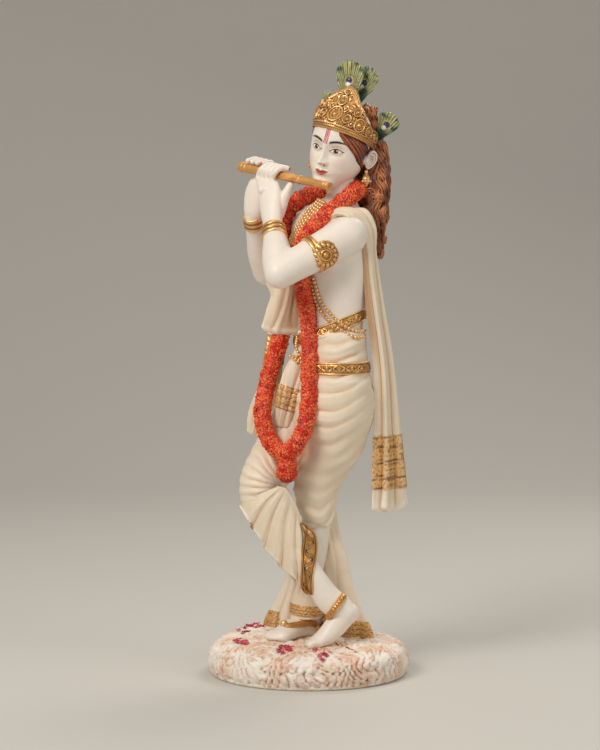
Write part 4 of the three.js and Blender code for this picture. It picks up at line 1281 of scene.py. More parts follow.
def feather(foot, tip, facing, width, height):
    """A fan of barbs with an eye, and the axes and height that its paint needs."""
    up = unit(tip - foot)
    out = unit(facing - up * (facing @ up))
    side = np.cross(up, out)

    def outline(share):
        """Half the width of the fan at a share of its height."""
        return width / 2 * np.interp(share, [0, 0.1, 0.3, 0.55, 0.75, 0.88, 0.96, 1],
                                     [0.16, 0.2, 0.5, 0.92, 1.06, 1.06, 0.88, 0.5])

    def place(u, v):
        front = u < 0.5
        part = np.where(front, 4 * u - 1, 3 - 4 * u)
        high = v * height
        notch = 0.08 * height * hill(part, 0, 0.22) * smooth(0.8, 1, v)
        rise = high - notch - 0.07 * height * part ** 4 * smooth(0.5, 1, v)
        wide = outline(v) * part
        bearing = np.arctan2(wide, high - 0.3 * height + 4)
        barbs = 0.6 * folded(bearing * 9) * smooth(0.05, 0.2, v)
        eye = np.hypot(wide, high - EYE_AT * height)
        ring = 0.5 * hill(eye, 1.9, 0.35) + 0.5 * hill(eye, 0, 1.0)
        thick = FEATHER_THICKNESS / 2 * np.sqrt(np.maximum(0.02, 1 - part ** 4))
        relief = np.where(front, barbs * smooth(1.8, 2.6, eye) + ring, 0.6 * barbs)
        depth = np.where(front, 1, -1) * (thick - 0.35 + relief)
        return foot + side * wide[:, None] + up * rise[:, None] + out * depth[:, None]
    return surface(128, 60, place), foot, up, side, height


def feather_colours(obj, foot, up, side, height):
    points = spots(obj)
    high = (points - foot) @ up
    wide = (points - foot) @ side
    low = recesses(obj, 6, 0.25)
    colours = np.tile(linear("#0c4a2e"), (len(high), 1))
    colours = over(colours, linear("#0c3f36"), 0.5 + 0.6 * wobble(points, 3, 8))
    bearing = np.arctan2(wide, high - 0.3 * height + 4)
    strokes = smooth(0.35, 0.8, folded(bearing * 9 + 0.5)) * smooth(-0.5, 0.1, wobble(points, 3, 9))
    colours = over(colours, linear("#6f9a55"), 0.15 * smooth(-0.3, 0.4, wobble(points, 4, 10)))
    colours = over(colours, linear("#dfd692"), 0.72 * strokes * smooth(0.28, 0.5, high / height))
    # Painted shade in the grooves between the barbs
    colours = over(colours, linear("#04180f"), 0.9 * smooth(0.05, 0.7, low))
    eye = np.hypot(wide, high - EYE_AT * height)
    colours = over(colours, linear("#c9a94c"), 0.8 * hill(eye, 2.1, 0.35))
    colours = over(colours, linear("#2a3468"), smooth(1.75, 1.5, eye))
    dot = np.hypot(wide + 0.6, high - EYE_AT * height + 1.9)
    return over(colours, linear("#e9e6dd"), smooth(1.35, 1.05, dot))


def make_feathers():
    near = np.array([0.62, -0.78, 0.1])
    left = np.array([0.9, -0.4, 0.2])
    right = np.array([-0.4, -0.9, 0.2])
    # Each one: its foot and tip as how far right, near and high, the way it faces, its width and height
    fans = [
        ("feather_front", (20, -3, 281), (20.8, -4, 307), near, 13.4, FRONT_FEATHER),
        ("feather_rear", (22.6, -6, 283), (30.6, -8, 303), near, 11.6, FRONT_FEATHER * 0.86),
        ("feather_left", (33.4, -9, 267), (43, -8, 282), left, 10.8, SIDE_FEATHER),
        ("feather_right", (14, -10, 277), (9.4, -12, 290.4), right, 10, SIDE_FEATHER),
    ]
    for name, low_end, high_end, *sizes in fans:
        shape, foot, up, side, height = feather(at_view(*low_end), at_view(*high_end), *sizes)
        fan = gathered(name, [shape])
        tint(fan, feather_colours(fan, foot, up, side, height))
        dress(fan, FEATHER_PAINT)


# Small shapes set in numbers


def repeated(name, shape, places):
    """Copies of one small shape, each at a place of its own."""
    pattern = bpy.data.meshes.new(name)
    shape.to_mesh(pattern)
    shape.free()
    whole = bmesh.new()
    for place in places:
        copy = pattern.copy()
        copy.transform(place)
        whole.from_mesh(copy)
        bpy.data.meshes.remove(copy)
    return whole


def set_at(point, facing, spin=0.0, size=1.0):
    """The placing of a small shape: its own up turned to face a way, at a drawn point."""
    turn = Vector(facing).to_track_quat("Z", "Y").to_matrix().to_4x4()
    twist = Matrix.Rotation(spin, 4, "Z")
    return Matrix.Translation(Vector(point) * MM) @ turn @ twist @ Matrix.Scale(size, 4)


def bead(radius):
    bm = bmesh.new()
    bmesh.ops.create_uvsphere(bm, u_segments=12, v_segments=8, radius=radius * MM)
    return bm


# The garland

GARLAND_DIAMETER = 8.8
GARLAND = [
    [2, 25, 243], [11, 22.4, 244], [16, 16, 241.6], [16.2, 9, 237.6], [14.8, 0.4, 231], [11.3, -6.5, 224],
    [6.5, -8.9, 215], [4.5, -8.4, 204], [5, -6.5, 194], [7.5, -6, 182], [10, -6.5, 171], [12.5, -8, 160.5],
    [15, -10, 150.5], [17.4, -12, 139], [18.6, -15, 128], [17.6, -18.8, 119.6], [12.5, -22, 114],
    [6, -24.6, 116.6], [1, -26.4, 123], [-2.6, -26, 133], [-6, -21.5, 145.5], [-9, -15.4, 157.6],
    [-12, -8.4, 170], [-15.6, -4.2, 186], [-15.4, -5, 206], [-15.8, -5.4, 220], [-15.8, -3.2, 231],
    [-12.4, 4.8, 239], [-5.4, 18, 243.4], [2, 25, 243],
]
PENDANT = [[11.6, -21.4, 110.6, 2.6], [11.5, -21.4, 106.6, 4.4], [11.3, -21.2, 103, 4.6]]
FLORET_REACH = 2.25


def floret():
    """A carved marigold head: a ring of deep curled petals round a pit."""
    def place(u, v):
        angle = 2 * math.pi * u
        curl = np.abs(np.cos(2.5 * angle + 2 * v)) ** 0.8
        radius = FLORET_REACH * v * (0.62 + 0.42 * curl)
        high = 1.5 * np.sin(math.pi * v ** 0.9) * (0.3 + 0.8 * curl) + 0.5 * hill(v, 0, 0.25)
        return np.column_stack([radius * np.cos(angle), radius * np.sin(angle), high])
    return surface(20, 5, place, capped=False)


def strung(path, radius, gap, ring, seed):
    """Places for florets all round a cord."""
    draw = random.Random(seed)
    fine = spline(path, np.linspace(0, 1, 1200))
    runs = runs_of(fine)

    def at(reach):
        return np.array([np.interp(reach, runs, fine[:, k]) for k in range(3)])
    places = []
    for row, reach in enumerate(np.arange(0, runs[-1], gap)):
        point = at(reach)
        along = unit(at(min(reach + 1, runs[-1])) - at(max(reach - 1, 0)))
        wide = unit(np.cross(along, [0.3, 0.5, 0.81]))
        deep = np.cross(along, wide)
        for k in range(ring):
            angle = 2 * math.pi * (k + 0.5 * (row % 2)) / ring + draw.uniform(-0.2, 0.2)
            out = wide * math.cos(angle) + deep * math.sin(angle)
            spot = point + out * (radius + draw.uniform(-0.35, 0.25)) + along * draw.uniform(-0.4, 0.4)
            facing = out + along * draw.uniform(-0.45, 0.45) + np.cross(along, out) * draw.uniform(-0.4, 0.4)
            places.append(set_at(spot, facing, draw.uniform(0, 6.3), draw.uniform(0.82, 1.12)))
    return places


def make_garland():
    half = GARLAND_DIAMETER / 2
    cords = [surface(14, 260, sweep([[*p, half - 0.5] for p in GARLAND], [0.7, -0.7, 0.1])),
             surface(16, 30, sweep([[*p[:3], p[3] - 0.2] for p in PENDANT], [1, 0, 0]))]
    cord = gathered("garland_cord", cords)
    # The cord shows only in the gaps between the florets, and its darker red there is painted shade
    tint(cord, np.tile(linear("#b01606"), (len(cord.data.vertices), 1)))
    dress(cord, PETAL_PAINT)
    places = strung(GARLAND, half - 1.5, 1.9, 8, 11)
    places += strung([p[:3] for p in PENDANT], 3.6, 1.8, 10, 12)
    florets = gathered("garland_florets", [repeated("floret", floret(), places)])
    size = len(florets.data.vertices) // len(places)
    draw = random.Random(13)
    tones = np.repeat([draw.uniform(0, 1) for _ in places], size)
    out = layer(florets, "share")
    low = recesses(florets, 2, 0.3)
    colours = np.tile(linear("#ee3e0a"), (len(tones), 1))
    colours = over(colours, linear("#d82604"), 0.8 * smooth(0.4, 1, tones))
    # Painted highlight on the petal tips
    colours = over(colours, linear("#ff8a54"), 0.85 * smooth(0.15, 0.7, -low) * smooth(1.0, 0.3, tones))
    # Painted shade in the pits and between the petals
    pit_shade = np.maximum(0.8 * smooth(0.2, 0.03, out), 0.35 * smooth(0.4, 1.2, low))
    colours = over(colours, linear("#9a0e02"), pit_shade)
    tint(florets, colours)
    return dress(florets, PETAL_PAINT)


# Hanging cloth: pleated strips of the shawl, the drape behind the legs, the fan below the knee

SHAWL_THICKNESS = 5.4
SHAWL_FALL = [
    [14, 5, 228, 5], [19.4, 7.6, 232, 7.4], [24.6, 11.4, 231.4, 8], [27.4, 15.6, 224.6, 6],
    [26.6, 17.8, 213, 4.2], [26, 20, 200, 4.8], [25.8, 22.8, 185, 5.4], [25.2, 28.6, 155, 6.8],
    [25, 31.5, 118, 9.4], [26, 32.5, 85, 12.6],
]
SHAWL_BEHIND = [[24, 19, 224, 6], [10, 28.6, 213, 8], [-10, 28, 205, 8], [-30, 22, 199, 7], [-47, 15, 199, 5]]
SHAWL_LAP = [
    [-12, 1, 213, 4, 3], [-11.6, -3.4, 206, 4.2, 3], [-8.8, -8.2, 192, 5.8, 3.2], [-9.5, -9.6, 182, 7.6, 3.4],
    [-10.8, -10, 174, 9, 3.4],
]
SHAWL_TAIL = [
    [-47, 12, 198, 5.6, 4.6], [-41.7, 10.3, 190, 3.8, 4.2], [-34, 4, 180, 5.6, 3.6],
    [-19.4, -5.6, 170, 4.6, 2.7], [-18.6, -8.4, 158, 4.4, 2.7], [-20.4, -9.8, 144, 4.8, 2.7],
    [-24.4, -12.6, 130, 5.6, 2.7], [-26, -13.6, 121, 4.6, 2.5],
]
SASH = [[5, -6, 163, 4.6, 2], [4.6, -12.2, 151, 5.4, 2.2], [3.4, -15, 140, 5.2, 2.2], [1.4, -16.4, 127, 4, 2]]


def pleated(count, depth, sway, fade=0.0):
    """Broad soft folds along a strip, with finer ones on them. They sway, and may fade towards its start."""
    def relief(angle, t):
        phase = count * angle / (2 * math.pi) + sway * np.sin(4 * t + 2 * np.cos(angle))
        soft = carved(phase) + 0.14 * np.cos(2 * math.pi * (2 * phase + 0.7 * t))
        return depth * (soft - 0.6) * (1 - fade * (1 - t))
    return relief


# The thin lines of a woven border: where they lie, as shares of its height, and how wide they are
BORDER_LINES = (
    (0.02, 0.014), (0.2, 0.01), (0.25, 0.01), (0.48, 0.012), (0.54, 0.01), (0.78, 0.01), (0.97, 0.014),
)


def border(z, low, high, along):
    """A woven gold border: thin umber lines, and scrolls between them. Gives its mask, relief and lines."""
    part = (z - low) / (high - low)
    inside = smooth(-0.012, 0.012, part) * smooth(1.012, 0.988, part)
    lines = np.zeros_like(part)
    for place, width in BORDER_LINES:
        lines = np.maximum(lines, hill(part + 0.008 * np.sin(1.3 * along), place, width))
    field = np.sin(1.7 * along + 2.2 * np.sin(0.9 * z)) * np.cos(1.3 * z + 1.6 * np.sin(1.1 * along))
    scrolls = hill(field, 0.1, 0.15)
    return inside, inside * (0.15 - 0.35 * lines - 0.2 * scrolls), inside * np.maximum(lines, 0.8 * scrolls)


def trimmed(obj, bands, painted_brown_shade=0.0, where=1.0, pale=0.0):
    """Cloth colours, a golden brown painted shade, and gold borders, which are raised as well as painted,
    with painted highlight on their raised parts.
    A border goes from one height to another, and climbs by a slope to the right. The pale share lightens the
    whole piece as painted light."""
    points = spots(obj)
    # The pale share lightens the whole piece as painted light, then golden brown painted shade is laid over
    # it
    colours = over(cloth_colours(obj), linear("#f6ead6"), pale * np.ones(len(points)))
    colours = over(colours, linear("#b27c40"), 0.75 * painted_brown_shade * np.ones(len(points)))
    low = recesses(obj, 16, 0.6)
    gilt = np.zeros(len(points))
    lift = np.zeros(len(points))
    right, near = view_flat(points)
    for bottom, top, slope in bands:
        z = points[:, 2] + slope * right
        inside, relief, lines = border(z, bottom, top, right + 0.7 * near)
        inside, relief, lines = inside * where, relief * where, lines * where
        colours = over(colours, linear("#e6ae60"), inside)
        # Painted highlight on the border's raised parts
        colours = over(colours, PAINTED_GOLD_HIGHLIGHT, inside * smooth(-0.15, 0.4, -low))
        colours = over(colours, linear("#4a1e04"), 0.9 * lines + 0.55 * inside * smooth(0.2, 0.9, low))
        gilt = np.maximum(gilt, inside * (0.55 - 0.5 * lines))
        lift += 0.4 * inside + relief
    move_to(obj, points + outward(obj) * lift[:, None])
    tint(obj, colours, gilt)
    return dress(obj, CARVED_RESIN)


def make_shawl():
    half = SHAWL_THICKNESS / 2
    fall = gathered("shawl_fall", [surface(150, 340, sweep(
        [[*stop, half] for stop in SHAWL_FALL], [-0.15, 1, 0], pleated(5, 2.0, 0.16, 0.45), cap=0.012))])
    points = spots(fall)
    rows = np.array(SHAWL_FALL[::-1])
    inner = points @ RIGHTWARD - np.interp(points[:, 2], rows[:, 2], rows[:, :2] @ RIGHTWARD[:2])
    reach = np.interp(points[:, 2], rows[:, 2], rows[:, 3])
    # Painted shadow in golden brown along the fall's inner edge, where it lies against the arm
    painted_brown_shade = smooth(-0.15, -0.65, inner / reach) * smooth(150, 175, points[:, 2])
    trimmed(fall, [(94, 121, 0.0)], painted_brown_shade)
    behind = gathered("shawl_behind", [surface(110, 200, sweep(
        [[*stop, half] for stop in SHAWL_BEHIND], UP, pleated(5, 1.5, 0.3)))])
    trimmed(behind, [])
    tail = gathered("shawl_tail", [
        surface(120, 240, sweep(SHAWL_TAIL, RIGHTWARD, pleated(5, 1.3, 0.3), cap=0.03)),
        surface(110, 160, sweep(SHAWL_LAP, RIGHTWARD, pleated(3, 1.4, 0.35, 0.5), cap=0.03)),
    ])
    points = spots(tail)
    # Painted shade in golden brown over the lap's right side
    painted_brown_shade = 0.7 * smooth(-20, -8, points @ RIGHTWARD) * smooth(172, 176, points[:, 2])
    trimmed(tail, [(155, 170.5, 0.0)], painted_brown_shade)
    sash = gathered("waist_sash", [surface(90, 150, sweep(SASH, RIGHTWARD, pleated(5, 0.8, 0.2)))])
    trimmed(sash, [(130.5, 143, 0.33)])


# The drape behind the legs: height, and x and y of its inner and of its outer edge
BACK_DRAPE = [
    [15, [20.6, 26.4], [-36, -3.4]], [22, [19, 25], [-34.4, -2.8]], [40, [13.5, 19.5], [-23, -0.5]],
    [58, [10.5, 16.5], [-17, 1]], [76, [7.6, 12.6], [-11, 4]], [94, [6.6, 11.6], [-6, 8]],
    [116, [12, 15], [-3, 13]],
]
DRAPE_THICKNESS = 10


def drape_place(u, v):
    inner = spline([[*row[1], row[0]] for row in BACK_DRAPE], v)
    outer = spline([[*row[2], row[0]] for row in BACK_DRAPE], v)
    wide = unit(inner - outer)
    deep = np.cross(UP, wide)
    half = np.linalg.norm(inner - outer, axis=1) / 2
    thick = DRAPE_THICKNESS / 2 * (1 - 0.3 * v)
    angle = 2 * math.pi * u
    across = np.cos(angle)
    pleat = carved(3.6 * (across + 0.12 * np.sin(5 * v + 3 * across))) - 0.5
    pleat = pleat + 0.25 * np.sin(17 * across + 5 * v)
    depth = (2 - 1.3 * v) * np.abs(np.sin(angle)) ** 0.5
    x = (half * across)[:, None]
    y = ((thick + depth * pleat) * np.sin(angle))[:, None]
    return (inner + outer) / 2 + wide * x + deep * y


def make_drape():
    drape = gathered("back_drape", [surface(260, 170, drape_place)])
    right = spots(drape) @ RIGHTWARD
    ends = np.maximum(smooth(-14, -15.5, right), smooth(10, 12, right))
    # The drape lies in the shade of the legs, and is lightened as painted light
    trimmed(drape, [(18.4, 27, 0.04)], where=ends, pale=0.45)


# The fan of cloth below the crossed knee: where it starts and where its hem runs, as right and height
FAN_TOP = [[-15, 97.4], [-13, 97], [-11, 96], [-8.4, 92], [-5.6, 86], [-3.4, 80]]
FAN_HEM = [
    [-34, 87.4], [-30, 80], [-26.4, 74.4], [-21.4, 66.6], [-15.4, 59.2], [-9.4, 53.4], [-4, 48], [-1, 44.6],
]
FAN_FOLDS = 5
# The gold hem down the fan's right edge, as height, left side and right side
GOLD_HEM = [
    [79, -3.9, -3.1], [76, -3.4, 0.6], [73, -2.4, 3.5], [69, -2.8, 4.5], [65.5, -3.3, 4.7], [61, -3.7, 4.2],
    [56, -3.9, 3.1], [52, -4.1, 2.2], [48, -4.2, 2], [45, -3, 2.1], [43, -0.8, 2.1],
]


def fan_front(right, z):
    """How near the solid fan's front reaches."""
    rows = np.array(CURTAIN[::-1])
    left_edge, right_edge, near, depth = (np.interp(z, rows[:, 0], rows[:, k]) for k in (1, 2, 3, 4))
    s = np.clip((right - (left_edge + right_edge) / 2) / ((right_edge - left_edge) / 2 + 0.6), -1, 1)
    return near + depth * np.sqrt(np.maximum(0, 1 - s ** 2))


def hung(obj, trees, lift, back, rounds):
    """Lets a flat front hang over what is beneath it, and its back follow at a distance."""
    points = spots(obj)
    turn = layer(obj, "turn")
    right, near = view_flat(points)
    front = turn < 0.5
    solid = skin_depth(points, NEARWARD, trees)
    beneath_it = np.fmax(near, np.where(np.isnan(solid), -99, solid))
    settled = averaged(obj, beneath_it, rounds)
    reach = settled + np.where(front, lift, lift - back)
    move_to(obj, in_view(right, reach, points[:, 2]))


def fan_place(u, v):
    across = there_and_back(u)
    top = spline([[*p, 0] for p in FAN_TOP], across)[:, :2]
    hem = spline([[*p, 0] for p in FAN_HEM], across)[:, :2]
    step = 1 + 0.05 * (1 - (FAN_FOLDS * across) % 1) ** 2 * smooth(0.55, 1, v)
    flat = top + (hem - top) * (v * step)[:, None]
    sag = 2 * np.sin(math.pi * v) * (1 - across)
    right, z = flat[:, 0] - 0.5 * sag, flat[:, 1] + 0.3 * sag
    reach = fan_front(right, z) - np.where(u < 0.5, 0, 2)
    return in_view(right, reach, z)


def hem_place(u, v):
    rows = np.array(GOLD_HEM)
    z, left_side, right_side = tracks(rows, v)
    across = there_and_back(u)
    right = left_side + (right_side - left_side) * across
    reach = fan_front(right, z) - np.where(u < 0.5, 0, 1.5)
    return in_view(right, reach, z)


def make_curtain(trees):
    fan = gathered("knee_fan", [surface(300, 150, fan_place)])
    turn, down = layer(fan, "turn"), layer(fan, "share")
    across = there_and_back(turn)
    settled = smooth(0, 0.22, down) * smooth(0, 0.14, across)
    pleat = carved(FAN_FOLDS * across + 0.1 * np.sin(5 * down)) - 0.4
    pleat = pleat + 0.12 * carved(2.6 * FAN_FOLDS * across)
    hung(fan, trees, -1 + settled * (1.5 + (0.5 + 1.1 * down) * pleat), 2.4, 10)
    tint(fan, cloth_colours(fan))
    dress(fan, CARVED_RESIN)

    hem = gathered("fan_hem", [surface(120, 260, hem_place)])
    turn = layer(hem, "turn")
    across = there_and_back(turn)
    z = spots(hem)[:, 2]
    lines = np.maximum(hill(across, 0.14, 0.035), hill(across, 0.86, 0.035))
    vine = 0.5 + 0.22 * np.sin(0.75 * z)
    middle = smooth(0.16, 0.22, across) * smooth(0.84, 0.78, across)
    curls = hill(np.abs(across - vine), 0.16 * np.abs(np.cos(0.75 * z)), 0.035) + hill(across, vine, 0.03)
    lines = np.maximum(lines, middle * np.clip(curls, 0, 1))
    wave = 0.35 * np.sin(0.55 * z) * across
    hung(hem, trees + [beneath(fan)], 0.9 + wave - 0.35 * lines, 1.6, 6)
    front = turn < 0.5
    low = recesses(hem, 5, 0.2)
    # Painted highlight on what stands up
    colours = over(np.tile(GOLD, (len(z), 1)), PAINTED_GOLD_HIGHLIGHT, 0.7 * smooth(0, 0.7, -low))
    worn = 0.4 * middle * smooth(-0.2, 0.5, wobble(spots(hem), 1.6, 41))
    # Lines and worn spots in umber on the front; the back is darkened with umber as painted shade
    dark = np.where(front, np.maximum(0.95 * lines, worn), 0.5)
    tint(hem, over(colours, UMBER, dark), 1 - 0.8 * dark)
    return dress(hem, GOLD_PAINT)


CUFF = [
    [27.6, -2.8, 0.6, 8.2, 7.6], [31, -2.8, 0.8, 8.7, 8], [36.6, -2.6, 1, 8.2, 7.6], [42, -2, 1.4, 6.4, 6.2],
    [47, -1.4, 1.8, 4.6, 4.6],
]


def make_cuff():
    """The gathered end of the cloth about the standing ankle, with its gold hem."""
    def relief(angle, z):
        return (0.9 * carved(13 * angle / (2 * math.pi) + 0.2 * np.sin(z / 6)) - 0.5) * smooth(35, 42, z)
    cuff = gathered("ankle_cuff", [surface(160, 110, levels(CUFF, relief))])
    trimmed(cuff, [(29, 34.4, 0.08)])


# Gold: belt, hem, armbands, bracelets, anklets and chains

# At how many bearings, and at how many places over its width, a band is laid on what is under it
BEARINGS = 96
PLACES = 5
# The share of a band's section that is its outer face
OUTER = 0.7


def girth(centre, along, side, other, width, trees, start):
    """Radii of what a band lies on, by bearing and by place over its width, a little softened."""
    found = np.full((BEARINGS, PLACES), np.nan)
    for j, share in enumerate(np.linspace(-0.5, 0.5, PLACES)):
        middle = np.array(centre) + along * share * width
        for i in range(BEARINGS):
            angle = 2 * math.pi * i / BEARINGS
            out = side * math.cos(angle) + other * math.sin(angle)
            for tree in trees:
                hit = tree.ray_cast(Vector(middle + out * start), Vector(-out))
                if hit[0] is not None and hit[3] < start:
                    found[i, j] = np.fmax(found[i, j], start - hit[3])
    found = np.where(np.isnan(found), np.nanmedian(found), found)
    for _ in range(4):
        found = 0.5 * found + 0.25 * (np.roll(found, 1, 0) + np.roll(found, -1, 0))
    return 0.5 * found + 0.5 * found.mean(axis=1, keepdims=True)


def band(centre, axis, across, width, thick, relief, trees, start, columns=220, rows=26):
    """A band laid round a limb. Its outer face is carved by relief(angle, share of its width)."""
    along = unit(axis)
    side = unit(across - along * (along @ np.array(across, float)))
    other = np.cross(along, side)
    radii = girth(centre, along, side, other, width, trees, start)

    def place(u, v):
        angle = 2 * math.pi * u
        outer = v < OUTER
        share = np.where(outer, v / OUTER, (1 - v) / 0.3)
        i, j = u * BEARINGS, share * (PLACES - 1)
        i0, j0 = np.floor(i).astype(int), np.minimum(np.floor(j).astype(int), PLACES - 2)
        f, g = i - i0, j - j0
        first, second = radii[i0 % BEARINGS], radii[(i0 + 1) % BEARINGS]
        rows = np.arange(len(u))
        radius = (first[rows, j0] * (1 - g) + first[rows, j0 + 1] * g) * (1 - f)
        radius = radius + (second[rows, j0] * (1 - g) + second[rows, j0 + 1] * g) * f
        edge = np.minimum(share, 1 - share)
        off = np.where(outer, thick * np.minimum(1, 14 * edge) ** 0.5, -0.6)
        off = off + np.where(outer, relief(angle, share) * smooth(0, 0.06, edge), 0)
        x, y = ((radius + off) * np.cos(angle))[:, None], ((radius + off) * np.sin(angle))[:, None]
        return np.array(centre) + side * x + other * y + along * ((share - 0.5) * width)[:, None]
    return surface(columns, rows, place, capped=False)


def ridged(count, height):
    """Round ridges that run round a band."""
    def relief(angle, share):
        return height * folded(count * share)
    return relief


def lozenges(round_count, height):
    """Two plain edges, and a row of lozenges with a leaf in each."""
    def relief(angle, share):
        edges = height * (hill(share, 0.08, 0.05) + hill(share, 0.92, 0.05))
        phase = angle * round_count / (2 * math.pi)
        across = np.abs((phase % 1) - 0.5) * 2
        inside = smooth(0.2, 0.26, share) * smooth(0.8, 0.74, share)
        lines = hill(np.abs(share - 0.5) * 2.4 + across, 0.9, 0.1)
        leaf = hill(np.hypot((share - 0.5) * 2.2, across * 1.3), 0, 0.36)
        curls = 0.5 * np.abs(np.sin(7 * math.pi * phase)) * np.abs(np.cos(9 * share))
        return edges + inside * height * (0.9 * lines + 0.9 * leaf + 0.45 * curls) - 0.2 * height
    return relief


def jewel(name, shapes, rounds, depth):
    piece = gathered(name, shapes)
    tint(piece, gilded(piece, rounds, depth), np.ones(len(piece.data.vertices)))
    return dress(piece, GOLD_PAINT)


def medallion(centre, facing, radius):
    """A sunflower boss: a domed eye, a ring, and a rim of beads."""
    def place(u, v):
        angle = 2 * math.pi * u
        q = v * 1.15
        height = 1.5 * hill(q, 0, 0.26) + 0.75 * hill(q, 0.44, 0.09) + 0.35 * hill(q, 0.6, 0.05)
        petals = 0.85 * hill(q, 0.84, 0.15) * (0.25 + 0.75 * np.abs(np.cos(7 * angle)))
        dome = 1.5 * np.sqrt(np.maximum(0, 1.32 - q ** 2)) - 1.2
        reach = radius * v * (1 + 0.05 * np.abs(np.cos(7 * angle)) * smooth(0.7, 1, v))
        return np.column_stack([reach * np.cos(angle), reach * np.sin(angle), height + petals + dome])
    shape = surface(112, 40, place, capped=False)
    return repeated("medal", shape, [set_at(centre, facing)])


def chain(found, radius, gap):
    """Beads at an even gap along points laid on the figure."""
    points = np.array([p for p, _ in found])
    facings = np.array([f for _, f in found])
    shares = np.linspace(0, 1, 600)
    fine, way = spline(points, shares), spline(facings, shares)
    runs = runs_of(fine)
    places = []
    for reach in np.arange(0, runs[-1], gap):
        index = int(np.searchsorted(runs, reach))
        places.append(set_at(fine[index], way[index]))
    return repeated("beads", bead(radius), places)


def strap(found, width, thick):
    """A flat gold strap along points laid on the figure, with raised edges and rings along its middle."""
    path = np.array([p for p, _ in found])
    facings = np.array([f for _, f in found])

    def place(u, v):
        centre, facing = spline(path, v), unit(spline(facings, v))
        along = unit(spline(path, v + 1e-3) - spline(path, v - 1e-3))
        side = unit(np.cross(along, facing))
        top = u < 0.7
        across = np.where(top, u / 0.35 - 1, 1 - (u - 0.7) / 0.15)
        rings = 0.35 * np.abs(np.sin(math.pi * v * 14)) * hill(across, 0, 0.4)
        edges = 0.4 * hill(np.abs(across), 0.86, 0.12)
        off = np.where(top, thick * (1 - across ** 8) + edges + rings, -0.8)
        curve = -0.12 * width * across ** 2
        return centre + side * (width / 2 * across)[:, None] + facing * (off + curve)[:, None]
    return surface(70, 110, place)


def make_jewellery(skin, cloth, feet, sash):
    """The skin, cloth, feet and sash are search trees of what the gold lies on."""
    leftward = [1, 0, 0]
    belt = band([6.1, 9.1, 155.6], UP, leftward, 6.4, 0.7, lozenges(22, 0.45), [cloth], 40, 420, 40)
    jewel("belt", [belt], 8, 0.25)
    up = [-0.22, -0.3, 0.93]
    hem = band([5, 10.2, 175], up, leftward, 6.2, 0.7, lozenges(18, 0.45), [cloth, skin], 40, 420, 40)
    jewel("upper_hem", [hem], 8, 0.25)
    bands = []
    cuffs = ((LEFT_ARM, 0.5, 0.84), (RIGHT_ARM, 0.5, 0.93))
    for limb, high, low in cuffs:
        upper = np.array(limb["elbow"]) - np.array(limb["shoulder"])
        lower = np.array(limb["wrist"]) - np.array(limb["elbow"])
        middle = between(limb["shoulder"], limb["elbow"], high)
        cuff = between(limb["elbow"], limb["wrist"], low)
        bands.append(band(middle, upper, UP, 4.4, 0.7, ridged(2, 0.35), [skin], 13))
        bands.append(band(cuff, lower, UP, 8, 0.5, ridged(3, 0.55), [skin], 9))
    (spot, facing), = laid([(325.6, 255)], [skin], 0.2)
    bands.append(medallion(spot, facing + 0.25 * NEARWARD, 6.9))
    bands.append(medallion([-40.6, 1.6, 212], [-0.1, -1, 0.1], 5.4))
    jewel("armbands", bands, 8, 0.2)
    standing = [(282.6, 624), (288, 625.6), (295, 625), (302, 624), (309, 623), (316, 624.4)]
    crossed = [(347.6, 590.6), (344.2, 595), (341, 599.6), (337.8, 604.2), (334.4, 608.8), (331, 613.4),
               (327.6, 618), (324, 622.6), (320.6, 627), (317.8, 631)]
    slanted = [(spot + 0.7 * NEARWARD, way + 1.2 * NEARWARD) for spot, way in laid(crossed, [feet], 0.2)]
    anklets = [strap(laid(standing, [feet], 0.1), 3.6, 0.6), strap(slanted, 3.6, 0.7)]
    (knob, facing), = laid([(284.4, 624.6)], [feet], 0.6)
    anklets.append(repeated("boss", bead(1.9), [set_at(knob, facing)]))
    jewel("anklets", anklets, 8, 0.28)
    # Rows of beads from the garland to the hip, on the chest and on the hip, in pixels of the photograph
    rows = [
        [(311, 278.6), (313.4, 288), (317.4, 303), (326.4, 317.4), (340.8, 330), (355, 337.4), (364, 336.6),
         (370, 333)],
        [(314.6, 278.6), (317, 287), (321.4, 301.4), (330.4, 313.4), (343.6, 325.4), (356, 332.4),
         (364, 331.6), (369, 328)],
    ]
    strings = [chain(laid(row, [skin, cloth], 0.8), 1.0, 2.0) for row in rows]
    middle = [(321, 202), (313, 212), (304.6, 225), (296.6, 239), (290, 252)]
    rows = [[(x + step, y + 0.5 * step) for x, y in middle] for step in (-4, -2, 0, 2, 4)]
    strings += [chain(laid(row, [skin], 0.6, 9), 1.05, 1.9) for row in rows]
    for shift in (0, 3, 6, 9):
        row = [(292 + shift, 327), (289.4 + shift, 337), (288 + shift, 348), (291 + shift, 357),
               (298 + 0.7 * shift, 364)]
        strings.append(chain(laid(row, [cloth, sash], 0.6), 0.95, 1.85))
    jewel("bead_chains", strings, 4, 0.2)


def make_earrings():
    places, drops = [], []
    for hand in (1, -1):
        hook = on_head(np.array([hand * 15.8]), np.array([-3.4]), np.array([-8.4]))[0]
        out = unit((hook - HEAD_CENTRE) * [1, 1, 0])
        places += [set_at(hook + UP * 0.2, out), set_at(hook - UP * 6.6, out, 0, 0.7)]
        bell = [[*(hook - UP * down), radius] for down, radius in ((1.2, 0.9), (3.2, 2.1), (5, 1.7))]
        drops.append(surface(24, 20, sweep(bell, [1, 0, 0])))
        for k in range(8):
            angle = k * math.pi / 4
            ring = np.array([math.cos(angle), math.sin(angle), 0])
            places.append(set_at(hook - UP * 4.6 + ring * 2, ring, 0, 0.75))
    jewel("earrings", [repeated("ear_beads", bead(1.0), places), *drops], 4, 0.2)


# The mound, combed with short strokes and set with small flowers


# Each layer of strokes: how wide and how long they are, in millimetres
STROKES = ((4.6, 8.4), (3.8, 6.8), (4.2, 7.6))
# The share of the mound's rows that its flat underside takes up
UNDERSIDE = 0.06


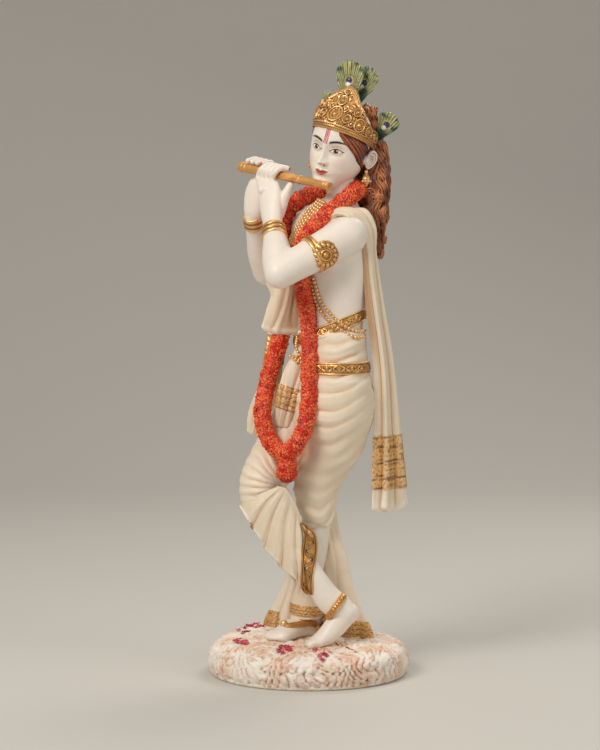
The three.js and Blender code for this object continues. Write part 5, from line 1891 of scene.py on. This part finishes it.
def stroke_field(u, reach, radius):
    """Overlapping strokes that run out and down over the mound, as 0 to 1 and how each one is toned. The
    large numbers in it only scatter them."""
    angle = 2 * math.pi * u
    warp = np.column_stack([radius * np.cos(angle), radius * np.sin(angle), reach])
    lean = 1.1 * wobble(warp, 14, 22)
    reach = reach + 3.4 * wobble(warp, 13, 24)
    u = u + 3.2 * wobble(warp, 12, 25) / (2 * math.pi * np.maximum(radius, 8))
    best = np.zeros_like(u)
    tone = np.zeros_like(u)
    for layer_no, (across, length) in enumerate(STROKES):
        count = np.maximum(8, np.round(2 * math.pi * np.maximum(radius, 6) / across / 8) * 8)
        row = reach / length + 0.37 * layer_no
        step = np.floor(row)
        jitter = np.sin(12.9898 * step + 4.1 * layer_no) * 3.7
        column = (u + lean * (row - step) / np.maximum(radius, 8) * 1.2) * count + jitter
        cell = np.floor(column)
        chance = np.abs(np.sin(cell * 78.233 + step * 37.719 + layer_no * 11.1)) * 43758.5453 % 1
        x = (column - cell - 0.5) * 2 + 0.3 * (chance - 0.5)
        y = (row - step - 0.5) * 2 + 0.35 * (chance - 0.5)
        crest = np.sqrt(np.maximum(0, 1 - (x / 0.86) ** 2)) * np.maximum(0, 1 - np.abs(y / 0.98) ** 2.4)
        crest = crest * (0.55 + 0.45 * chance)
        tone = np.where(crest > best, chance, tone)
        best = np.maximum(best, crest)
    return best, tone


def make_mound():
    half = MOUND_DIAMETER / 2
    rim = [[0, 0], [0.945, 0], [0.985, 0.14], [1, 0.4], [0.975, 0.66], [0.88, 0.86], [0.7, 0.95], [0.4, 1],
           [0, 1]]
    outline = np.array([[r * half, z * MOUND_HEIGHT] for r, z in rim])
    runs = runs_of(outline)
    under = runs[1] / runs[-1]

    def place(u, v):
        on_top = under + (v - UNDERSIDE) / (1 - UNDERSIDE) * (1 - under)
        reach = np.where(v < UNDERSIDE, v / UNDERSIDE * under, on_top) * runs[-1]
        shares = np.interp(reach, runs, np.linspace(0, 1, len(runs)))
        fine = spline(np.column_stack([outline, np.zeros(len(outline))]), shares)
        radius, z = fine[:, 0], np.maximum(0, fine[:, 1])
        strokes, _ = stroke_field(u, reach, radius)
        shown = smooth(0.2, 2.5, z) * smooth(2, 9, radius)
        slope = smooth(0.55, 0.95, z / MOUND_HEIGHT)
        amount = (2.3 * strokes - 2.0) * shown
        angle = 2 * math.pi * u
        radius = radius + amount * (1 - 0.75 * slope)
        z = z + amount * 0.8 * slope
        far_left = smooth(8, 44, -radius * (0.8 * np.cos(angle) - 0.1 * np.sin(angle)))
        z = z + 2.2 * slope * far_left
        return np.column_stack([radius * np.cos(angle), radius * np.sin(angle), z])
    mound = gathered("mound", [surface(520, 184, place)])
    points = spots(mound)
    low = recesses(mound, 6, 0.4)
    share = layer(mound, "share")
    reach = (under + (share - UNDERSIDE) / (1 - UNDERSIDE) * (1 - under)) * runs[-1]
    radius = np.hypot(points[:, 0], points[:, 1])
    strokes, tone = stroke_field(layer(mound, "turn"), reach, radius)
    patches = wobble(points, 10, 32)
    fine = wobble(points, 1.6, 33)
    colours = np.tile(linear("#f3ece0"), (len(points), 1))
    top = smooth(0.6, 0.9, points[:, 2] / MOUND_HEIGHT)
    flushed = (0.5 + 0.35 * top) * smooth(-0.2, 0.5, patches) + 0.2 * smooth(0, 0.5, fine)
    colours = over(colours, linear("#e6c3a4"), flushed)
    dabbed = smooth(0.8, 0.9, tone) * smooth(0.3, 0.7, strokes) * smooth(-0.5, 0.3, fine)
    colours = over(colours, linear("#d98f6c"), 0.6 * dabbed)
    # Painted shade in the hollows between the strokes, deepest in the deepest
    colours = over(colours, linear("#c07c58"), 0.8 * smooth(0, 0.7, low) * smooth(-0.8, 0.3, patches))
    colours = over(colours, linear("#8a5234"), 0.5 * smooth(0.5, 1, low) * smooth(-0.3, 0.4, fine))
    colours = over(colours, linear("#e9dfcb"), smooth(1.2, 0.3, points[:, 2]))
    tint(mound, colours)
    return dress(mound, MOUND_RESIN)


# Where the flowers lie, as x and y, and how many
FLOWER_SPOTS = [(-40, -8, 13), (-30, -19, 6), (-10, -34, 13), (18, -28, 15), (36, -17.5, 10), (-20, 32, 8)]


def make_flowers(mound_tree):
    """Small five-lobed flowers, dropped on the mound."""
    def place(u, v):
        angle = 2 * math.pi * u
        lobes = np.abs(np.cos(2.5 * angle))
        reach = 1.7 * v * (0.45 + 0.6 * lobes)
        high = 0.55 * np.sin(2.4 * v) + 0.3 * lobes * v
        return np.column_stack([reach * np.cos(angle), reach * np.sin(angle), high])
    draw = random.Random(17)
    places = []
    for x, y, count in FLOWER_SPOTS:
        for _ in range(count):
            start = Vector((x + draw.gauss(0, 2.8), y + draw.gauss(0, 2.4), 60))
            spot, facing, _, _ = mound_tree.ray_cast(start, Vector((0, 0, -1)))
            if spot is not None:
                facing = np.array(facing)
                way = facing + [draw.uniform(-0.4, 0.4), draw.uniform(-0.4, 0.4), 0.2]
                foot = np.array(spot) + 0.25 * facing
                places.append(set_at(foot, way, draw.uniform(0, 6), draw.uniform(0.8, 1.25)))
    flowers = gathered("mound_flowers", [repeated("flower", surface(20, 5, place, capped=False), places)])
    share = layer(flowers, "share")
    size = len(flowers.data.vertices) // len(places)
    tones = np.repeat([draw.uniform(0, 1) for _ in places], size)
    colours = np.tile(linear("#c92a45"), (len(share), 1))
    colours = over(colours, linear("#e57585"), 0.8 * smooth(0.4, 1, tones))
    colours = over(colours, linear("#8c1529"), 0.8 * smooth(0.4, 0.1, share))
    tint(flowers, colours)
    return dress(flowers, PETAL_PAINT)


# The flute


def make_flute():
    """A rod with turned rings and with holes, both placed as shares of its length."""
    side = FLUTE_UP
    front = np.cross(FLUTE_AIM, side)
    rings = [0.03, 0.055, 0.33, 0.66, 0.93, 0.965]
    holes = [0.12, 0.4, 0.47, 0.54, 0.62]

    def place(u, v):
        angle = 2 * math.pi * u
        t = np.clip((v - 0.03) / 0.94, 0, 1)
        shut = np.clip(np.minimum(v, 1 - v) / 0.03, 0, 1)
        radius = flute_radius(t)
        for ring in rings:
            radius = radius + 0.2 * hill(t, ring, 0.008)
        for hole in holes:
            away = np.hypot((t - hole) * FLUTE_LENGTH, np.angle(np.exp(1j * (angle - 0.4))) * radius)
            radius = radius - 0.6 * smooth(0.75, 0.45, away)
        radius = np.where(shut < 1, radius * np.sin(shut * math.pi / 2) ** 0.4, radius)
        centre = FLUTE_MOUTH + FLUTE_AIM * (t * FLUTE_LENGTH)[:, None]
        return centre + side * (radius * np.cos(angle))[:, None] + front * (radius * np.sin(angle))[:, None]
    flute = gathered("flute_rod", [surface(48, 420, place)])
    colours = gilded(flute, 6, 0.25)
    # Bright streaks along the rod: painted highlight
    painted_glints = smooth(0.0, 0.6, wobble(spots(flute) @ np.array([[0.3, 0, 0], [0, 1, 0], [0, 0, 1]]), 2.4, 51))
    colours = over(colours, linear("#ffbe6a"), 0.8 * painted_glints)
    tint(flute, colours, np.full(len(flute.data.vertices), 0.45))
    return dress(flute, GOLD_PAINT)


# Everything is made in the order in which it lies over the rest

set_camera()
set_stage()
body = make_body()
make_hands()
feet = make_feet()
cloth = make_dhoti()
make_head()
make_ears()
make_hair()
make_crown()
make_feathers()
make_garland()
make_shawl()
make_drape()
make_curtain([beneath(cloth), beneath(feet)])
make_cuff()
make_jewellery(beneath(body), beneath(cloth), beneath(feet), beneath(bpy.data.objects["waist_sash"]))
make_earrings()
make_flowers(beneath(make_mound()))
make_flute()
